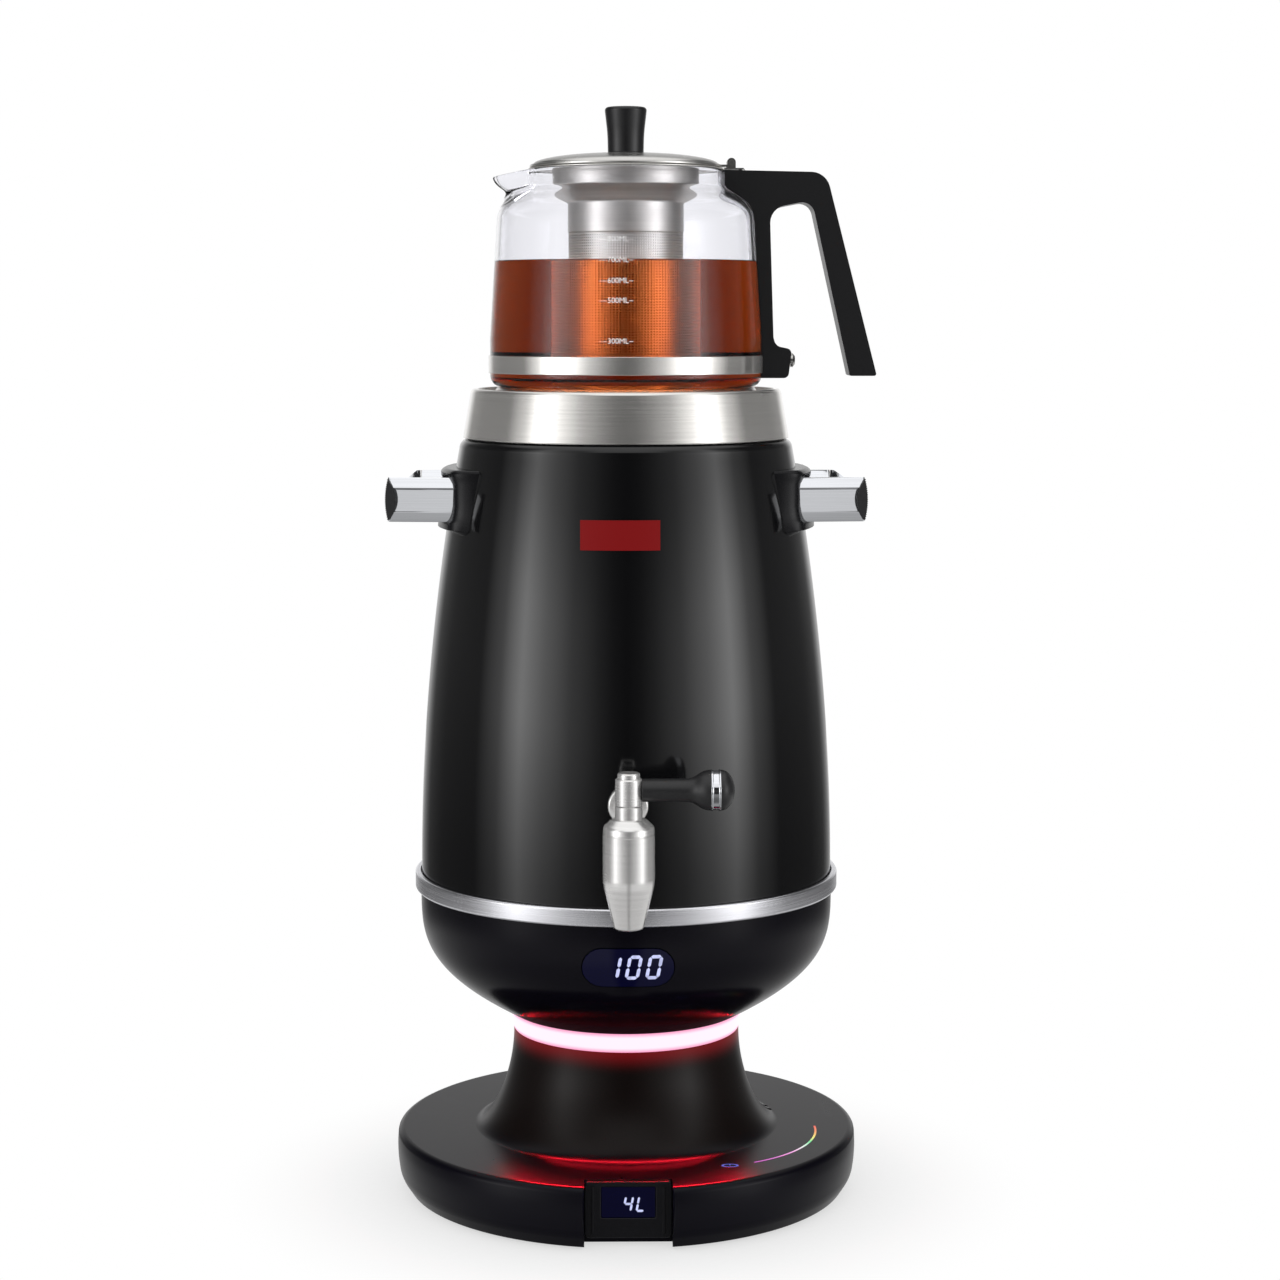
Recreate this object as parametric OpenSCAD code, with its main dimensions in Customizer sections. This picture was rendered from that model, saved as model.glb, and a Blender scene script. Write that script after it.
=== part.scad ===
// Electric samovar: a water boiler on a lit pedestal base, with a side-lever tap,
// two lifting handles and a glass teapot that stands on the steaming tank lid.
// Millimetres, +Z up. The origin is on the boiler's axis, at the floor.
// The tap and both displays face -Y, and the teapot's handle points to +X.

/* [Base] */
// Widest radius of the base disc
base_r = 110; // [104:1:120]
// Height of the base disc's top above the floor
base_h = 30; // [28:1:36]
// Wall thickness of the plastic housings
wall = 2.5; // [2:0.1:3]
// Radius of the base disc's top edge
base_edge = 3; // [1:0.5:4]
// How far the foot of the base disc is tucked in
base_tuck = 6; // [4:0.5:8]
// Height of the tucked-in foot
base_tuck_h = 7; // [5:0.5:9]
// How far the base disc's wall leans out to its widest line
base_lean = 1.4; // [0.5:0.1:2]
// How far the foot ring stands below the base
foot_h = 1; // [0.6:0.1:2]
// Distance of the foot ring's outer edge from the widest line
foot_inset = 24; // [22:1:30]
// Width of the foot ring
foot_w = 6; // [4:0.5:9]
// Thickness of the bottom plate
plate_t = 2; // [1.6:0.1:3]
// Number of base screws
base_screw_count = 6; // [4:2:6]
// Distance of the base screws from the widest line
base_screw_inset = 17; // [16:0.5:19]

/* [Front panel] */
// Width of the notch in the front of the base
notch_w = 39.6; // [36:0.4:46]
// Depth of the notch, from the widest line to the panel
notch_d = 12; // [10:0.5:14]
// Radius of the notch's upright edges
notch_edge = 2.5; // [1:0.5:4]
// Thickness of the panel
panel_t = 4; // [3.5:0.5:6]
// Height of the panel's lower edge above the floor
panel_z = 4; // [3.5:0.5:6]
// Width of the level window
level_window_w = 24.4; // [22:0.2:26]
// Height of the level window
level_window_h = 14.4; // [12:0.2:15]
// Height of the level window's middle above the floor
level_window_z = 20.4; // [19.5:0.1:21]
// Height of the level digits
level_digit_h = 7.4; // [6:0.2:9]

/* [Base controls] */
// Radius of the touch strip's curve
strip_r = 62; // [55:1:70]
// Width of the touch strip
strip_w = 1; // [0.8:0.1:2]
// Least distance of the touch strip from the widest line
strip_inset = 16; // [13:0.5:20]
// Direction of the middle of the touch strip
strip_az = -29; // [-34:1:-26]
// Angle that the touch strip covers
strip_angle = 64; // [40:1:68]
// Distance of the power key from the axis, short of the widest line
key_inset = 22; // [20:0.5:26]
// Direction of the power key
key_az = -58; // [-62:1:-54]
// Length of the power key's oval lens
key_w = 8; // [6:0.5:10]

/* [Pedestal] */
// Radius of the pedestal at its top
neck_r = 53.8; // [50:0.2:56]
// Height of the pedestal above the base disc
neck_h = 47.3; // [44:0.1:56]
// Radius where the pedestal's flare runs out on the base disc
flare_r = 73; // [68:0.5:78]
// Height of the light ring
ring_h = 9.2; // [7:0.1:12]
// Radius of the light ring at its top
ring_top_r = 55.3; // [54:0.1:57]
// Wall of the light ring
ring_t = 3; // [2:0.1:4]
// Outer radius of the tube that ties base and bowl together
stem_r = 14; // [12:0.5:18]
// Wall of that tube
stem_t = 2.5; // [2:0.1:3]

/* [Bowl] */
// Radius of the bowl's rim
bowl_r = 97.6; // [95:0.1:98.4]
// Height of the bowl
bowl_h = 59.7; // [56:0.1:66]
// Width of the temperature window
temp_window_w = 42; // [38:0.5:48]
// Height of the temperature window
temp_window_h = 18.8; // [16:0.2:20]
// Depth of the temperature window's middle under the bowl's rim
temp_window_drop = 19; // [17:0.5:24]
// Height of the temperature digits
temp_digit_h = 11.4; // [9:0.2:12.4]

/* [Belt] */
// How far the belt stands out from the bowl's rim
belt_out = 2.6; // [2:0.1:5.4]
// Height of the belt
belt_h = 8.3; // [7:0.1:10]

/* [Body] */
// How far the foot of the body shell stays inside the bowl's rim
body_step = 0.4; // [0:0.1:2.6]
// How much the body shell narrows up to its shoulder
body_taper = 19.2; // [17:0.1:19.8]
// Height from the belt to the top of the shoulder
body_h = 204; // [196:1:214]
// Power of the body's curve: 1 is a cone, and more bulges
body_bulge = 1.9; // [1.5:0.05:2.4]
// Radius of the shoulder's round
shoulder_r = 4.5; // [3:0.1:5]
// Thickness of the steel shell
shell_t = 1.2; // [0.8:0.1:1.6]
// Width of the name plate's blank
badge_w = 35.4; // [30:0.2:40]
// Height of the name plate's blank
badge_h = 13.2; // [10:0.2:16]
// Distance of the blank's middle under the shoulder
badge_drop = 39.5; // [34:0.5:50]
// How far the blank sits left of the middle
badge_left = 3.3; // [0:0.1:6]

/* [Tank] */
// Gap between body shell and tank
tank_gap = 7; // [6:0.1:8]
// Thickness of the tank's steel
tank_t = 0.8; // [0.6:0.1:1.2]
// Height of the tank's floor above the belt
tank_floor = 11.5; // [10:0.5:14]
// How far the tank's mouth stays inside the shell below its shoulder
mouth_inset = 10; // [9:0.5:12]
// How far the heating plate stays inside the shell below its shoulder
heater_inset = 16; // [14.5:0.5:22]
// Thickness of the heating plate
heater_t = 4; // [3:0.5:5]

/* [Collar] */
// Height of the collar
collar_h = 23.1; // [20:0.1:30]
// How far the collar's foot stays inside the shell below its shoulder
collar_step = 1.8; // [0:0.1:2]
// How much the collar narrows to its top
collar_lean = 3.9; // [2:0.1:4.2]
// Radius of the collar's top edge
collar_edge = 1.6; // [0.8:0.1:2]
// Thickness of the collar's steel
collar_t = 1.2; // [0.8:0.1:1.4]
// Height of the pot's bottom above the collar
pot_rise = 0.9; // [0.6:0.1:3]

/* [Side handles] */
// How far the grip's outer face stands out from the shell below its shoulder
handle_out = 32.6; // [30:0.2:40]
// Length of the grip, from leg to leg outside
handle_span = 76; // [70:1:80]
// Height of the handle's bar
handle_bar_h = 20.4; // [18:0.2:22]
// Thickness of the handle's legs and grip
handle_bar_t = 9; // [8:0.5:10]
// Distance of the handle's middle under the shoulder's top
handle_drop = 27; // [25:0.5:40]
// Round of the handle's long edges
handle_round = 5; // [3:0.5:6]
// How far the boss's outer face stands out from the shell below its shoulder
boss_out = 6.3; // [5.5:0.1:8]
// How far the boss reaches past the legs on each side
boss_margin = 5.5; // [4:0.5:7]
// Height of the boss
boss_h = 28.6; // [26:0.2:32]
// Thickness of the rubber grip strip
grip_t = 3; // [2:0.1:4]

/* [Tap] */
// Distance of the tap's upright axis in front of the belt's rim
tap_out = 25.8; // [25:0.2:32]
// Height of the tap's inlet above the belt
tap_rise = 46.1; // [44:0.1:60]
// Radius of the tap's body
tap_r = 11.2; // [10.5:0.1:12]
// Length of the tap's body below its inlet
tap_len = 49; // [46:0.5:50]
// Radius of the outlet's end
outlet_r = 6.3; // [5.6:0.1:7]
// Radius of the outlet's bore
outlet_bore_r = 4; // [3.6:0.1:4.4]
// Radius of the tap's column
column_r = 5.9; // [5.7:0.1:6.6]
// Radius of the plug in the tap
plug_r = 4; // [3.7:0.1:4.2]
// Length of the lever, from the tap's axis to the end of its knob
lever_len = 45.6; // [43:0.2:60]
// Radius of the lever's arm
lever_r = 5; // [4.4:0.1:5.2]
// Radius of the lever's knob
knob_r = 9; // [7:0.1:11]
// Radius of the flange on the shell
tap_flange_r = 9; // [8:0.1:11]
// Outer radius of the inlet tube
inlet_r = 4.7; // [4.2:0.1:4.8]

/* [Teapot] */
// Height of the glass
pot_h = 100; // [94:0.5:115]
// Widest radius of the glass
pot_r = 63.4; // [61:0.1:66]
// How much the glass narrows up to its shoulder
pot_taper = 3.4; // [2.4:0.1:5.4]
// How far the glass's shoulder is drawn in to the neck
pot_draw = 13.6; // [11:0.1:14]
// Height of the glass's neck
pot_neck_h = 7.5; // [6:0.1:10]
// Height of the glass's shoulder
pot_shoulder_h = 16.4; // [14:0.2:20]
// Thickness of the glass
glass_t = 2.1; // [1.8:0.1:2.4]
// Height of the steel band
band_h = 8.2; // [7:0.1:9]
// Height of the band's lower edge above the pot's bottom
band_z = 6.3; // [6:0.1:8]
// Thickness of the band
band_t = 0.7; // [0.5:0.1:1]
// How far the spout reaches past the neck
spout_reach = 14.4; // [12:0.2:16]
// Width of the spout at the neck
spout_w = 27; // [22:0.5:32]

/* [Teapot handle] */
// Distance of the handle's tip from the pot's wall
grip_reach = 53.2; // [50:0.2:62]
// Thickness of the grip
grip_thick = 12.6; // [10:0.2:14]
// Width of the handle
grip_w = 20; // [16:0.5:24]
// Height of the top bar
bar_h = 15.6; // [14:0.2:18]
// Thickness of the strap along the glass
strap_t = 5; // [4.4:0.1:7]
// How far the handle's foot stands out from the strap
foot_out = 8.6; // [8:0.1:11]

/* [Infuser and pot lid] */
// How far the infuser's skirt stays inside the glass's neck
skirt_inset = 12.4; // [10.4:0.2:14.4]
// How far the infuser's basket stays inside its skirt
basket_inset = 7; // [4:0.5:10]
// Depth of the infuser's skirt
skirt_h = 8.6; // [7:0.1:10]
// Distance of the basket's floor from the pot's bottom
basket_gap = 10; // [8:0.5:16]
// Thickness of the infuser's and the lid's steel
sheet_t = 0.6; // [0.5:0.05:0.8]
// How far the pot lid's rim stays inside the glass's neck
lid_inset = 1.8; // [1.4:0.1:2.2]
// Rise of the pot lid's dome
dome_h = 6.8; // [5:0.1:9]
// Height of the lid's knob
lid_knob_h = 21; // [18:0.5:26]
// Radius of the lid's knob at its foot
lid_knob_low_r = 8.3; // [7:0.1:9]
// Radius of the lid's knob at its top
lid_knob_high_r = 9.9; // [9:0.1:12]
// Radius of the hinge pin
hinge_pin_r = 1; // [0.8:0.05:1.1]

/* [Fits] */
// Gap between pieces that part or move
seat = 0.3; // [0.2:0.05:0.4]
// Radial clearance of a turning fit
running = 0.06; // [0.04:0.01:0.08]
// Gap between fixed pieces that plug together
fit = 0.1; // [0.05:0.05:0.2]

/* [Hidden] */
$fn = 180;

// Colours
BLACK = [0.05, 0.05, 0.055];
SATIN_BLACK = [0.09, 0.085, 0.085];
STEEL = [0.78, 0.77, 0.75];
CHROME = [0.86, 0.87, 0.89];
RUBBER = [0.12, 0.12, 0.12];
SMOKE = [0.05, 0.05, 0.09];
LIT_WHITE = [0.85, 0.87, 1.0];
PINK = [1.0, 0.78, 0.86];
BOARD = [0.1, 0.35, 0.2];
SILICONE = [0.82, 0.8, 0.76];
GLASS = [0.8, 0.85, 0.88, 0.35];

// Radii and heights of the stacked housings
belt_r = bowl_r + belt_out;
body_low_r = bowl_r - body_step;
body_high_r = body_low_r - body_taper;
collar_low_r = body_high_r - collar_step;
collar_high_r = collar_low_r - collar_lean;
neck_top = base_h + neck_h;
bowl_z = neck_top + ring_h;
belt_z = bowl_z + bowl_h;
body_z = belt_z + belt_h;
shoulder_z = body_z + body_h - shoulder_r;
shell_top = body_z + body_h;
collar_z = shell_top + tank_t;
collar_top = shell_top + collar_h;
pot_z = collar_top + pot_rise;
rim_z = pot_z + pot_h;

// Base
cut = 20;  // how far a cutting shape runs past what it cuts
foot_r = base_r - base_tuck;
widest_z = (base_h + base_tuck_h) / 2;
mouth_base_r = foot_r - wall;
base_screw_r = base_r - base_screw_inset;
base_screw_shank_r = 1.25;
base_screw_head_r = 3;
base_screw_head_h = 1.2;
base_screw_len = 12;
screw_boss_r = 4;
panel_y = -(base_r - notch_d);
pocket_y = panel_y + panel_t;
panel_w = notch_w - 2 * fit;
panel_round = 2;
rib_w = 1.2;
rib_out = 0.8;
window_t = 2;
window_sink = 0.5;
digit_t = 0.3;
board_t = 1.6;
level_digit_x = 3;
strip_c = base_r - strip_inset - strip_r;
key_r = base_r - key_inset;
key_h = 5;
vent_az = [13, 18];
vent_w = 3;
vent_l = 7;
gland_z = base_h / 2;
gland_r = 6;
gland_bore_r = 3.6;
gland_len = 12;
gland_flange_r = 8.5;
gland_flange_t = 2.5;
control_board_w = 70;
control_board_d = 44;
relay_w = 10;
relay_d = 8;
relay_h = 9;
relay_pitch = 16;
post_h = 9;
post_r = 2.5;
harness_r = 5;

// Pedestal and bowl
nut_h = 5;
nut_r = stem_r + 5;
led_strip_t = 1.6;
web_t = 1.5;
web_in = 10;
band_in_r = bowl_r + fit;
belt_mid = belt_z + (belt_h - web_t) / 2;
belt_edge = 1;
temp_z = belt_z - temp_window_drop;
temp_digit_x = 2.6;
window_proud = 0.4;
window_back = 1.4;
temp_board_w = temp_window_w - 6;
temp_board_h = temp_window_h - 4;
temp_board_y = -bowl_r + wall + 8.6;
board_ear_w = 3;

// Body and tank
mouth_r = body_high_r - mouth_inset;
heater_r = body_high_r - heater_inset;
tank_z = body_z + tank_floor;
tank_round = 6;
tank_high_z = shoulder_z - 5;
badge_z = shell_top - badge_drop;
badge_t = 0.5;
probe_y = body_high_r - 14;
probe_x = 24;
probe_r = 3;
probe_h = 22;
level_probe_h = 165;
seal_r = 6;
seal_t = 1.5;
thermostat_r = 9;
thermostat_h = 7;
heater_gap = 6;

// Collar and tank lid
ledge_z = collar_top - 5;
ledge_r = collar_high_r - collar_t - 1.6;
ledge_w = 4;
steam_hole_r = 3;
steam_hole_count = 8;
lid_rim_w = 9.5;
lid_seat_r = ledge_r - lid_rim_w;
gasket_t = 1.5;
lid_skirt_h = 8;

// Side handles
handle_reach = body_high_r + handle_out;
boss_reach = body_high_r + boss_out;
handle_z = shell_top - handle_drop;
handle_end = handle_reach - grip_t;
handle_corner = 7;
leg_y = handle_span / 2 - handle_bar_t / 2;
leg_root = sqrt(pow(body_r(handle_z), 2) - pow(leg_y, 2)) + 4;
boss_half = handle_span / 2 + boss_margin;
boss_round = 12;
boss_lip = 3.5;
boss_lip_h = 4;
handle_screw_r = 2;
handle_screw_head_r = 3.6;
handle_screw_head_t = 1.6;
handle_screw_grip = 14;
grip_rib = 1;
grip_rib_pitch = 2.4;

// Tap
tap_y = -(belt_r + tap_out);
tap_z = body_z + tap_rise;
inlet_bore_r = 2.8;
shoulder_drop = 0.6;
shoulder_h = 3.4;
column_low = tap_z + inlet_r + 0.2;
head_z = column_low + seat;
head_h = 2 * lever_r + 1.8;
lever_z = head_z + head_h - lever_r - 0.2;
cap_h = 2.5;
cap_r = column_r - 1;
plug_len = 14;
plug_floor = head_z - plug_len;
plug_port_r = 2.4;
outlet_z = tap_z - tap_len;
taper_z = outlet_z + 20;
groove_z = tap_z - 7.6;
groove_d = 0.4;
lever_ring_w = 4.3;
lever_knob_w = 6;
lever_flare = 11;
lever_pin_r = 1.8;
lever_pin_len = 18;
flange_t = 2.5;
nut_flat_r = 8;
tap_nut_t = 5;
tap_gasket_t = 2;
tap_gasket_r = 8;

// Teapot
pot_high_r = pot_r - pot_taper;
pot_neck_r = pot_high_r - pot_draw;
pot_corner = 5;
pot_low_h = 22;
wall_low_z = pot_z + pot_low_h;
neck_z = rim_z - pot_neck_h;
shoulder_low_z = neck_z - pot_shoulder_h;
spout_drop = 7;
spout_tip_r = 5;
spout_tip_h = 2.4;
spout_droop = 3;
strap_out = pot_r + strap_t;
band_out = pot_r + fit + band_t;
foot_top = band_z + band_h + 4.4;
foot_x = strap_out + foot_out;
tip_x = pot_r + grip_reach;
tip_z = pot_z + 5;
grip_top_out = 33;
grip_top_x = pot_r + grip_top_out;
screw_head_r = 3.3;
screw_head_t = 2;
band_screw_r = 1.5;
band_screw_z = pot_z + band_z + band_h / 2 + 1.8;

// Infuser, pot lid and its hinge
flange_z = rim_z;
flange_r = pot_neck_r - 1.2;
skirt_r = pot_neck_r - skirt_inset;
basket_r = skirt_r - basket_inset;
lid_r = pot_neck_r - lid_inset;
basket_z = pot_z + basket_gap;
cone_h = 5;
lid_z = flange_z + sheet_t + seat;
lid_hem = 1.4;
lid_skirt_r = skirt_r - sheet_t - 1;
pot_lid_skirt_h = 4;
knob_z = lid_z + dome_h;
hinge_x = pot_neck_r + 2.4;
hinge_z = lid_z + 2.4;
knuckle_r = hinge_pin_r + 1;
knuckle_w = 8;
ear_w = 1.2;
ear_gap = 0.3;
bracket_t = 0.6;
bracket_len = 9;
bracket_w = knuckle_w + 2 * (ear_gap + ear_w);
bracket_peg_x = hinge_x + 5;

// ---- Functions: points of arcs, curves and rounded outlines ----

function arc(c, r, from, to, n = 8) =
    [for (i = [0:n]) c + r * [cos(from + (to - from) * i / n), sin(from + (to - from) * i / n)]];

function bezier(p, t) =
    pow(1 - t, 3) * p[0] + 3 * t * pow(1 - t, 2) * p[1] + 3 * t * t * (1 - t) * p[2] + pow(t, 3) * p[3];

function bezier_way(p, t) =
    3 * pow(1 - t, 2) * (p[1] - p[0]) + 6 * t * (1 - t) * (p[2] - p[1]) + 3 * t * t * (p[3] - p[2]);

// A curve's points, moved aside by d: to the left of its way when d is positive
function curve(p, d = 0, n = 16) =
    [for (i = [0:n]) let (w = bezier_way(p, i / n), l = norm(w))
        bezier(p, i / n) + d * [-w[1], w[0]] / l];

function turn(a) = a > 180 ? a - 360 : a < -180 ? a + 360 : a;

function corner(a, b, c, r, n = 6) =
    let (u = (a - b) / norm(a - b), v = (c - b) / norm(c - b), half = acos(u * v) / 2,
        m = b + (u + v) / norm(u + v) * r / sin(half), s = b + u * r / tan(half) - m,
        e = b + v * r / tan(half) - m, from = atan2(s[1], s[0]))
    arc(m, r, from, from + turn(atan2(e[1], e[0]) - from), n);

// An outline of [x, y, radius] points with its corners rounded
function outline(p, n = 6) =
    [for (i = [0:len(p) - 1]) let (q = [for (v = p) [v[0], v[1]]], k = len(p))
        each p[i][2] > 0 ? corner(q[(i + k - 1) % k], q[i], q[(i + 1) % k], p[i][2], n) : [q[i]]];

function reversed(p) = [for (i = [len(p) - 1:-1:0]) p[i]];

// Outer radius of the body shell at height z
function body_r(z) =
    body_low_r - (body_low_r - body_high_r) * pow(max(0, (z - body_z) / (shoulder_z - body_z)), body_bulge);

function body_points(from, to, d = 0, n = 18) =
    [for (i = [0:n]) let (z = from + (to - from) * i / n) [body_r(z) - d, z]];

flare_curve = [[flare_r, base_h], [flare_r - 0.36 * (flare_r - neck_r), base_h],
    [neck_r, base_h + 0.45 * neck_h], [neck_r, neck_top]];
bowl_curve = [[ring_top_r, bowl_z], [bowl_r + 0.4, bowl_z + 0.39 * bowl_h],
    [bowl_r, bowl_z + 0.61 * bowl_h], [bowl_r, belt_z]];

// ---- Helpers ----

module revolve(points) {
    rotate_extrude() polygon(points);
}

// Two-dimensional shape in the XZ plane, extruded along Y from y0 to y1
module along_y(y0, y1) {
    translate([0, y1, 0]) rotate([90, 0, 0]) linear_extrude(y1 - y0) children();
}

// Two-dimensional shape in the YZ plane, extruded along X from x0 to x1
module along_x(x0, x1) {
    translate([x0, 0, 0]) rotate([90, 0, 90]) linear_extrude(x1 - x0) children();
}

module tube(outer, inner, h) {
    difference() {
        cylinder(r = outer, h = h);
        translate([0, 0, -1]) cylinder(r = inner, h = h + 2);
    }
}

module capsule(w, h) {
    union() {
        square([w - h, h], center = true);
        for (x = [-1, 1]) translate([x * (w - h) / 2, 0]) circle(d = h);
    }
}

module around(count, r, first = 0) {
    for (i = [0:count - 1]) rotate(first + i * 360 / count) translate([r, 0, 0]) children();
}

// Seven-segment figures, leaning to the right: each figure is a string of its lit segments
segment_share = 0.13;
lean = 0.18;
figure_w = 0.56;
figure_pitch = 0.8;

function segment_ends(s, w, h) =
    s == "a" ? [[0, h], [w, h]] : s == "b" ? [[w, h], [w, h / 2]] : s == "c" ? [[w, h / 2], [w, 0]]
    : s == "d" ? [[0, 0], [w, 0]] : s == "e" ? [[0, h / 2], [0, 0]] : s == "f" ? [[0, h], [0, h / 2]]
    : [[0, h / 2], [w, h / 2]];

module segment(s, w, h, t) {
    ends = segment_ends(s, w, h);
    way = (ends[1] - ends[0]) / norm(ends[1] - ends[0]);
    side = [-way[1], way[0]] * t / 2;
    a = ends[0] + way * t * 0.6;
    b = ends[1] - way * t * 0.6;
    points = [a - way * t / 2, a + side, b + side, b + way * t / 2, b - side, a - side];
    polygon([for (p = points) [p[0] + lean * p[1], p[1]]]);
}

// Figures side by side, with their middle at the origin
module figures(segments, h) {
    t = segment_share * h;
    w = figure_w * h - t;
    total = (len(segments) - 1) * figure_pitch * h + w + lean * h;
    for (i = [0:len(segments) - 1])
        translate([i * figure_pitch * h - total / 2, -(h - t) / 2])
            for (s = segments[i]) segment(s, w, h - t, t);
}

// ---- Base ----

module foot_ring() {
    color(RUBBER) tube(base_r - foot_inset, base_r - foot_inset - foot_w, foot_h);
}

function base_outline() = concat(
    [[0, foot_h], [foot_r, foot_h], [base_r - base_lean, foot_h + base_tuck_h], [base_r, widest_z]],
    corner([base_r, widest_z], [base_r - base_lean / 2, base_h], [flare_r, base_h], base_edge),
    curve(flare_curve), [[0, neck_top]]);

function base_cavity() = concat(
    [[0, -1], [mouth_base_r, -1], [mouth_base_r, foot_h], [base_r - base_lean - wall, foot_h + base_tuck_h],
        [base_r - wall, widest_z], [base_r - base_lean - wall, base_h - wall]],
    [for (p = curve(flare_curve, wall)) [p[0], min(p[1], neck_top - wall)]], [[0, neck_top - wall]]);

// The notch in the base's front, seen from above and grown by a wall
module notch_plan(grow = 0) {
    side = notch_w / 2 + grow;
    front = -sqrt(pow(base_r, 2) - pow(notch_w / 2, 2));
    right = grow > 0 ? [[side, -base_r - cut]] : concat([[side + notch_edge, -base_r - cut]],
        arc([side + notch_edge, front + notch_edge], notch_edge, 270, 180));
    left = [for (p = reversed(right)) [-p[0], p[1]]];
    polygon(concat(right, [[side, pocket_y + grow], [-side, pocket_y + grow]], left));
}

module notch(grow = 0) {
    translate([0, 0, -cut]) linear_extrude(neck_top + cut) notch_plan(grow);
}

module base_screw_places() {
    around(base_screw_count, base_screw_r, 360 / base_screw_count * (base_screw_count % 4 == 0 ? 0.5 : 1))
        children();
}

function strip_points(w) = concat(
    arc([0, 0], strip_r + w / 2, -strip_angle / 2, strip_angle / 2, 24),
    arc([0, 0], strip_r - w / 2, strip_angle / 2, -strip_angle / 2, 24));

module strip_prism(w, z, h) {
    rotate(strip_az) translate([strip_c, 0, z]) linear_extrude(h) polygon(strip_points(w));
}

module key_prism(w, z, h) {
    rotate(key_az) translate([key_r, 0, z]) rotate(-key_az) linear_extrude(h)
        capsule(w, key_h + w - key_w);
}

module base_cover() {
    color(SATIN_BLACK) difference() {
        union() {
            difference() {
                revolve(base_outline());
                difference() {
                    revolve(base_cavity());
                    notch(wall);
                }
            }
            base_screw_places() translate([0, 0, foot_h + plate_t + fit])
                cylinder(r = screw_boss_r, h = base_h - wall / 2 - foot_h - plate_t - fit);
        }
        notch();
        base_screw_places() cylinder(r = base_screw_shank_r, h = foot_h + plate_t + base_screw_len);
        along_y(pocket_y - 1, pocket_y + wall + 1) translate([0, level_window_z])
            square([level_window_w - 4, level_window_h - 4], center = true);
        strip_prism(strip_w + 2 * fit, base_h - wall - 1, wall + 2);
        key_prism(key_w + 2 * fit, base_h - wall - 1, wall + 2);
        for (az = vent_az) rotate(az) translate([(flare_r + neck_r) / 2, -vent_w / 2, base_h])
            cube([vent_l + wall, vent_w, vent_w]);
        translate([0, base_r, gland_z]) rotate([90, 0, 0]) cylinder(r = gland_r + fit, h = cut);
        cylinder(r = stem_r + fit, h = neck_top + 1);
    }
}

module base_plate() {
    color(RUBBER) difference() {
        union() {
            translate([0, 0, foot_h]) cylinder(r = mouth_base_r - fit, h = plate_t);
            for (x = [-1, 1], y = [-1, 1])
                translate([x * (control_board_w / 2 - 5), y * (control_board_d / 2 - 5), foot_h + plate_t - 0.5])
                    cylinder(r = post_r, h = post_h + 0.5);
        }
        notch(wall + fit);
        base_screw_places() {
            cylinder(r = base_screw_shank_r + 0.3, h = base_h);
            cylinder(r = base_screw_head_r + 0.3, h = foot_h + base_screw_head_h);
        }
    }
}

module base_screws() {
    color(STEEL) base_screw_places() translate([0, 0, foot_h]) {
        cylinder(r = base_screw_head_r, h = base_screw_head_h);
        cylinder(r = base_screw_shank_r, h = plate_t + base_screw_len - 1);
    }
}

module front_panel() {
    half = panel_w / 2;
    color(BLACK) difference() {
        union() {
            along_y(panel_y, pocket_y - fit) polygon(outline([[-half, panel_z, panel_round],
                [half, panel_z, panel_round], [half, base_h, panel_round], [-half, base_h, panel_round]]));
            for (x = [-1, 1]) translate([x * (half + level_window_w / 2) / 2, 0, 0])
                along_y(panel_y - rib_out, panel_y + 1) translate([-rib_w / 2, panel_z + panel_round])
                    square([rib_w, base_h - panel_z - 2 * panel_round]);
        }
        along_y(panel_y - cut, pocket_y + 1) translate([0, level_window_z])
            square([level_window_w, level_window_h], center = true);
    }
}

module level_window() {
    color(SMOKE) along_y(panel_y + window_sink, panel_y + window_sink + window_t)
        translate([0, level_window_z])
            square([level_window_w - 2 * fit, level_window_h - 2 * fit], center = true);
}

module level_digits() {
    color(LIT_WHITE) along_y(panel_y + window_sink - digit_t, panel_y + window_sink)
        translate([level_digit_x, level_window_z - 0.7]) figures(["bcfg", "def"], level_digit_h);
}

module level_board() {
    color(BOARD) along_y(panel_y + window_sink + window_t, pocket_y - fit)
        translate([0, level_window_z])
            square([level_window_w - 2 * fit, level_window_h - 2 * fit], center = true);
}

module touch_strip() {
    color(PINK) strip_prism(strip_w, base_h - wall, wall);
}

module power_key() {
    color(SMOKE) key_prism(key_w, base_h - wall, wall);
}

module control_board() {
    z = foot_h + plate_t + post_h;
    color(BOARD) union() {
        translate([-control_board_w / 2, -control_board_d / 2, z])
            cube([control_board_w, control_board_d, board_t]);
        for (i = [-1:1]) translate([i * relay_pitch - relay_w / 2, relay_d, z + board_t - 0.2])
            cube([relay_w, relay_d, relay_h]);
    }
}

module wire_harness() {
    z = foot_h + plate_t + post_h + board_t;
    color(RUBBER) translate([0, 0, z]) cylinder(r = harness_r, h = thermostat_z() - z);
}

module cord_gland() {
    color(RUBBER) difference() {
        union() {
            translate([0, base_r - wall, gland_z]) rotate([90, 0, 0])
                cylinder(r = gland_r, h = gland_len - wall);
            difference() {
                translate([0, base_r + gland_flange_t, gland_z]) rotate([90, 0, 0])
                    cylinder(r = gland_flange_r, h = gland_flange_t + wall);
                difference() {
                    revolve(base_outline());
                    translate([0, base_r, gland_z]) rotate([90, 0, 0]) cylinder(r = gland_r, h = cut);
                }
            }
        }
        translate([0, base_r + cut, gland_z]) rotate([90, 0, 0]) cylinder(r = gland_bore_r, h = 3 * cut);
    }
}

// ---- Pedestal and bowl ----

module stem_tube() {
    color(STEEL) translate([0, 0, neck_top - wall - nut_h - 2])
        tube(stem_r, stem_r - stem_t, ring_h + 2 * wall + 2 * nut_h + 4);
}

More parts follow.
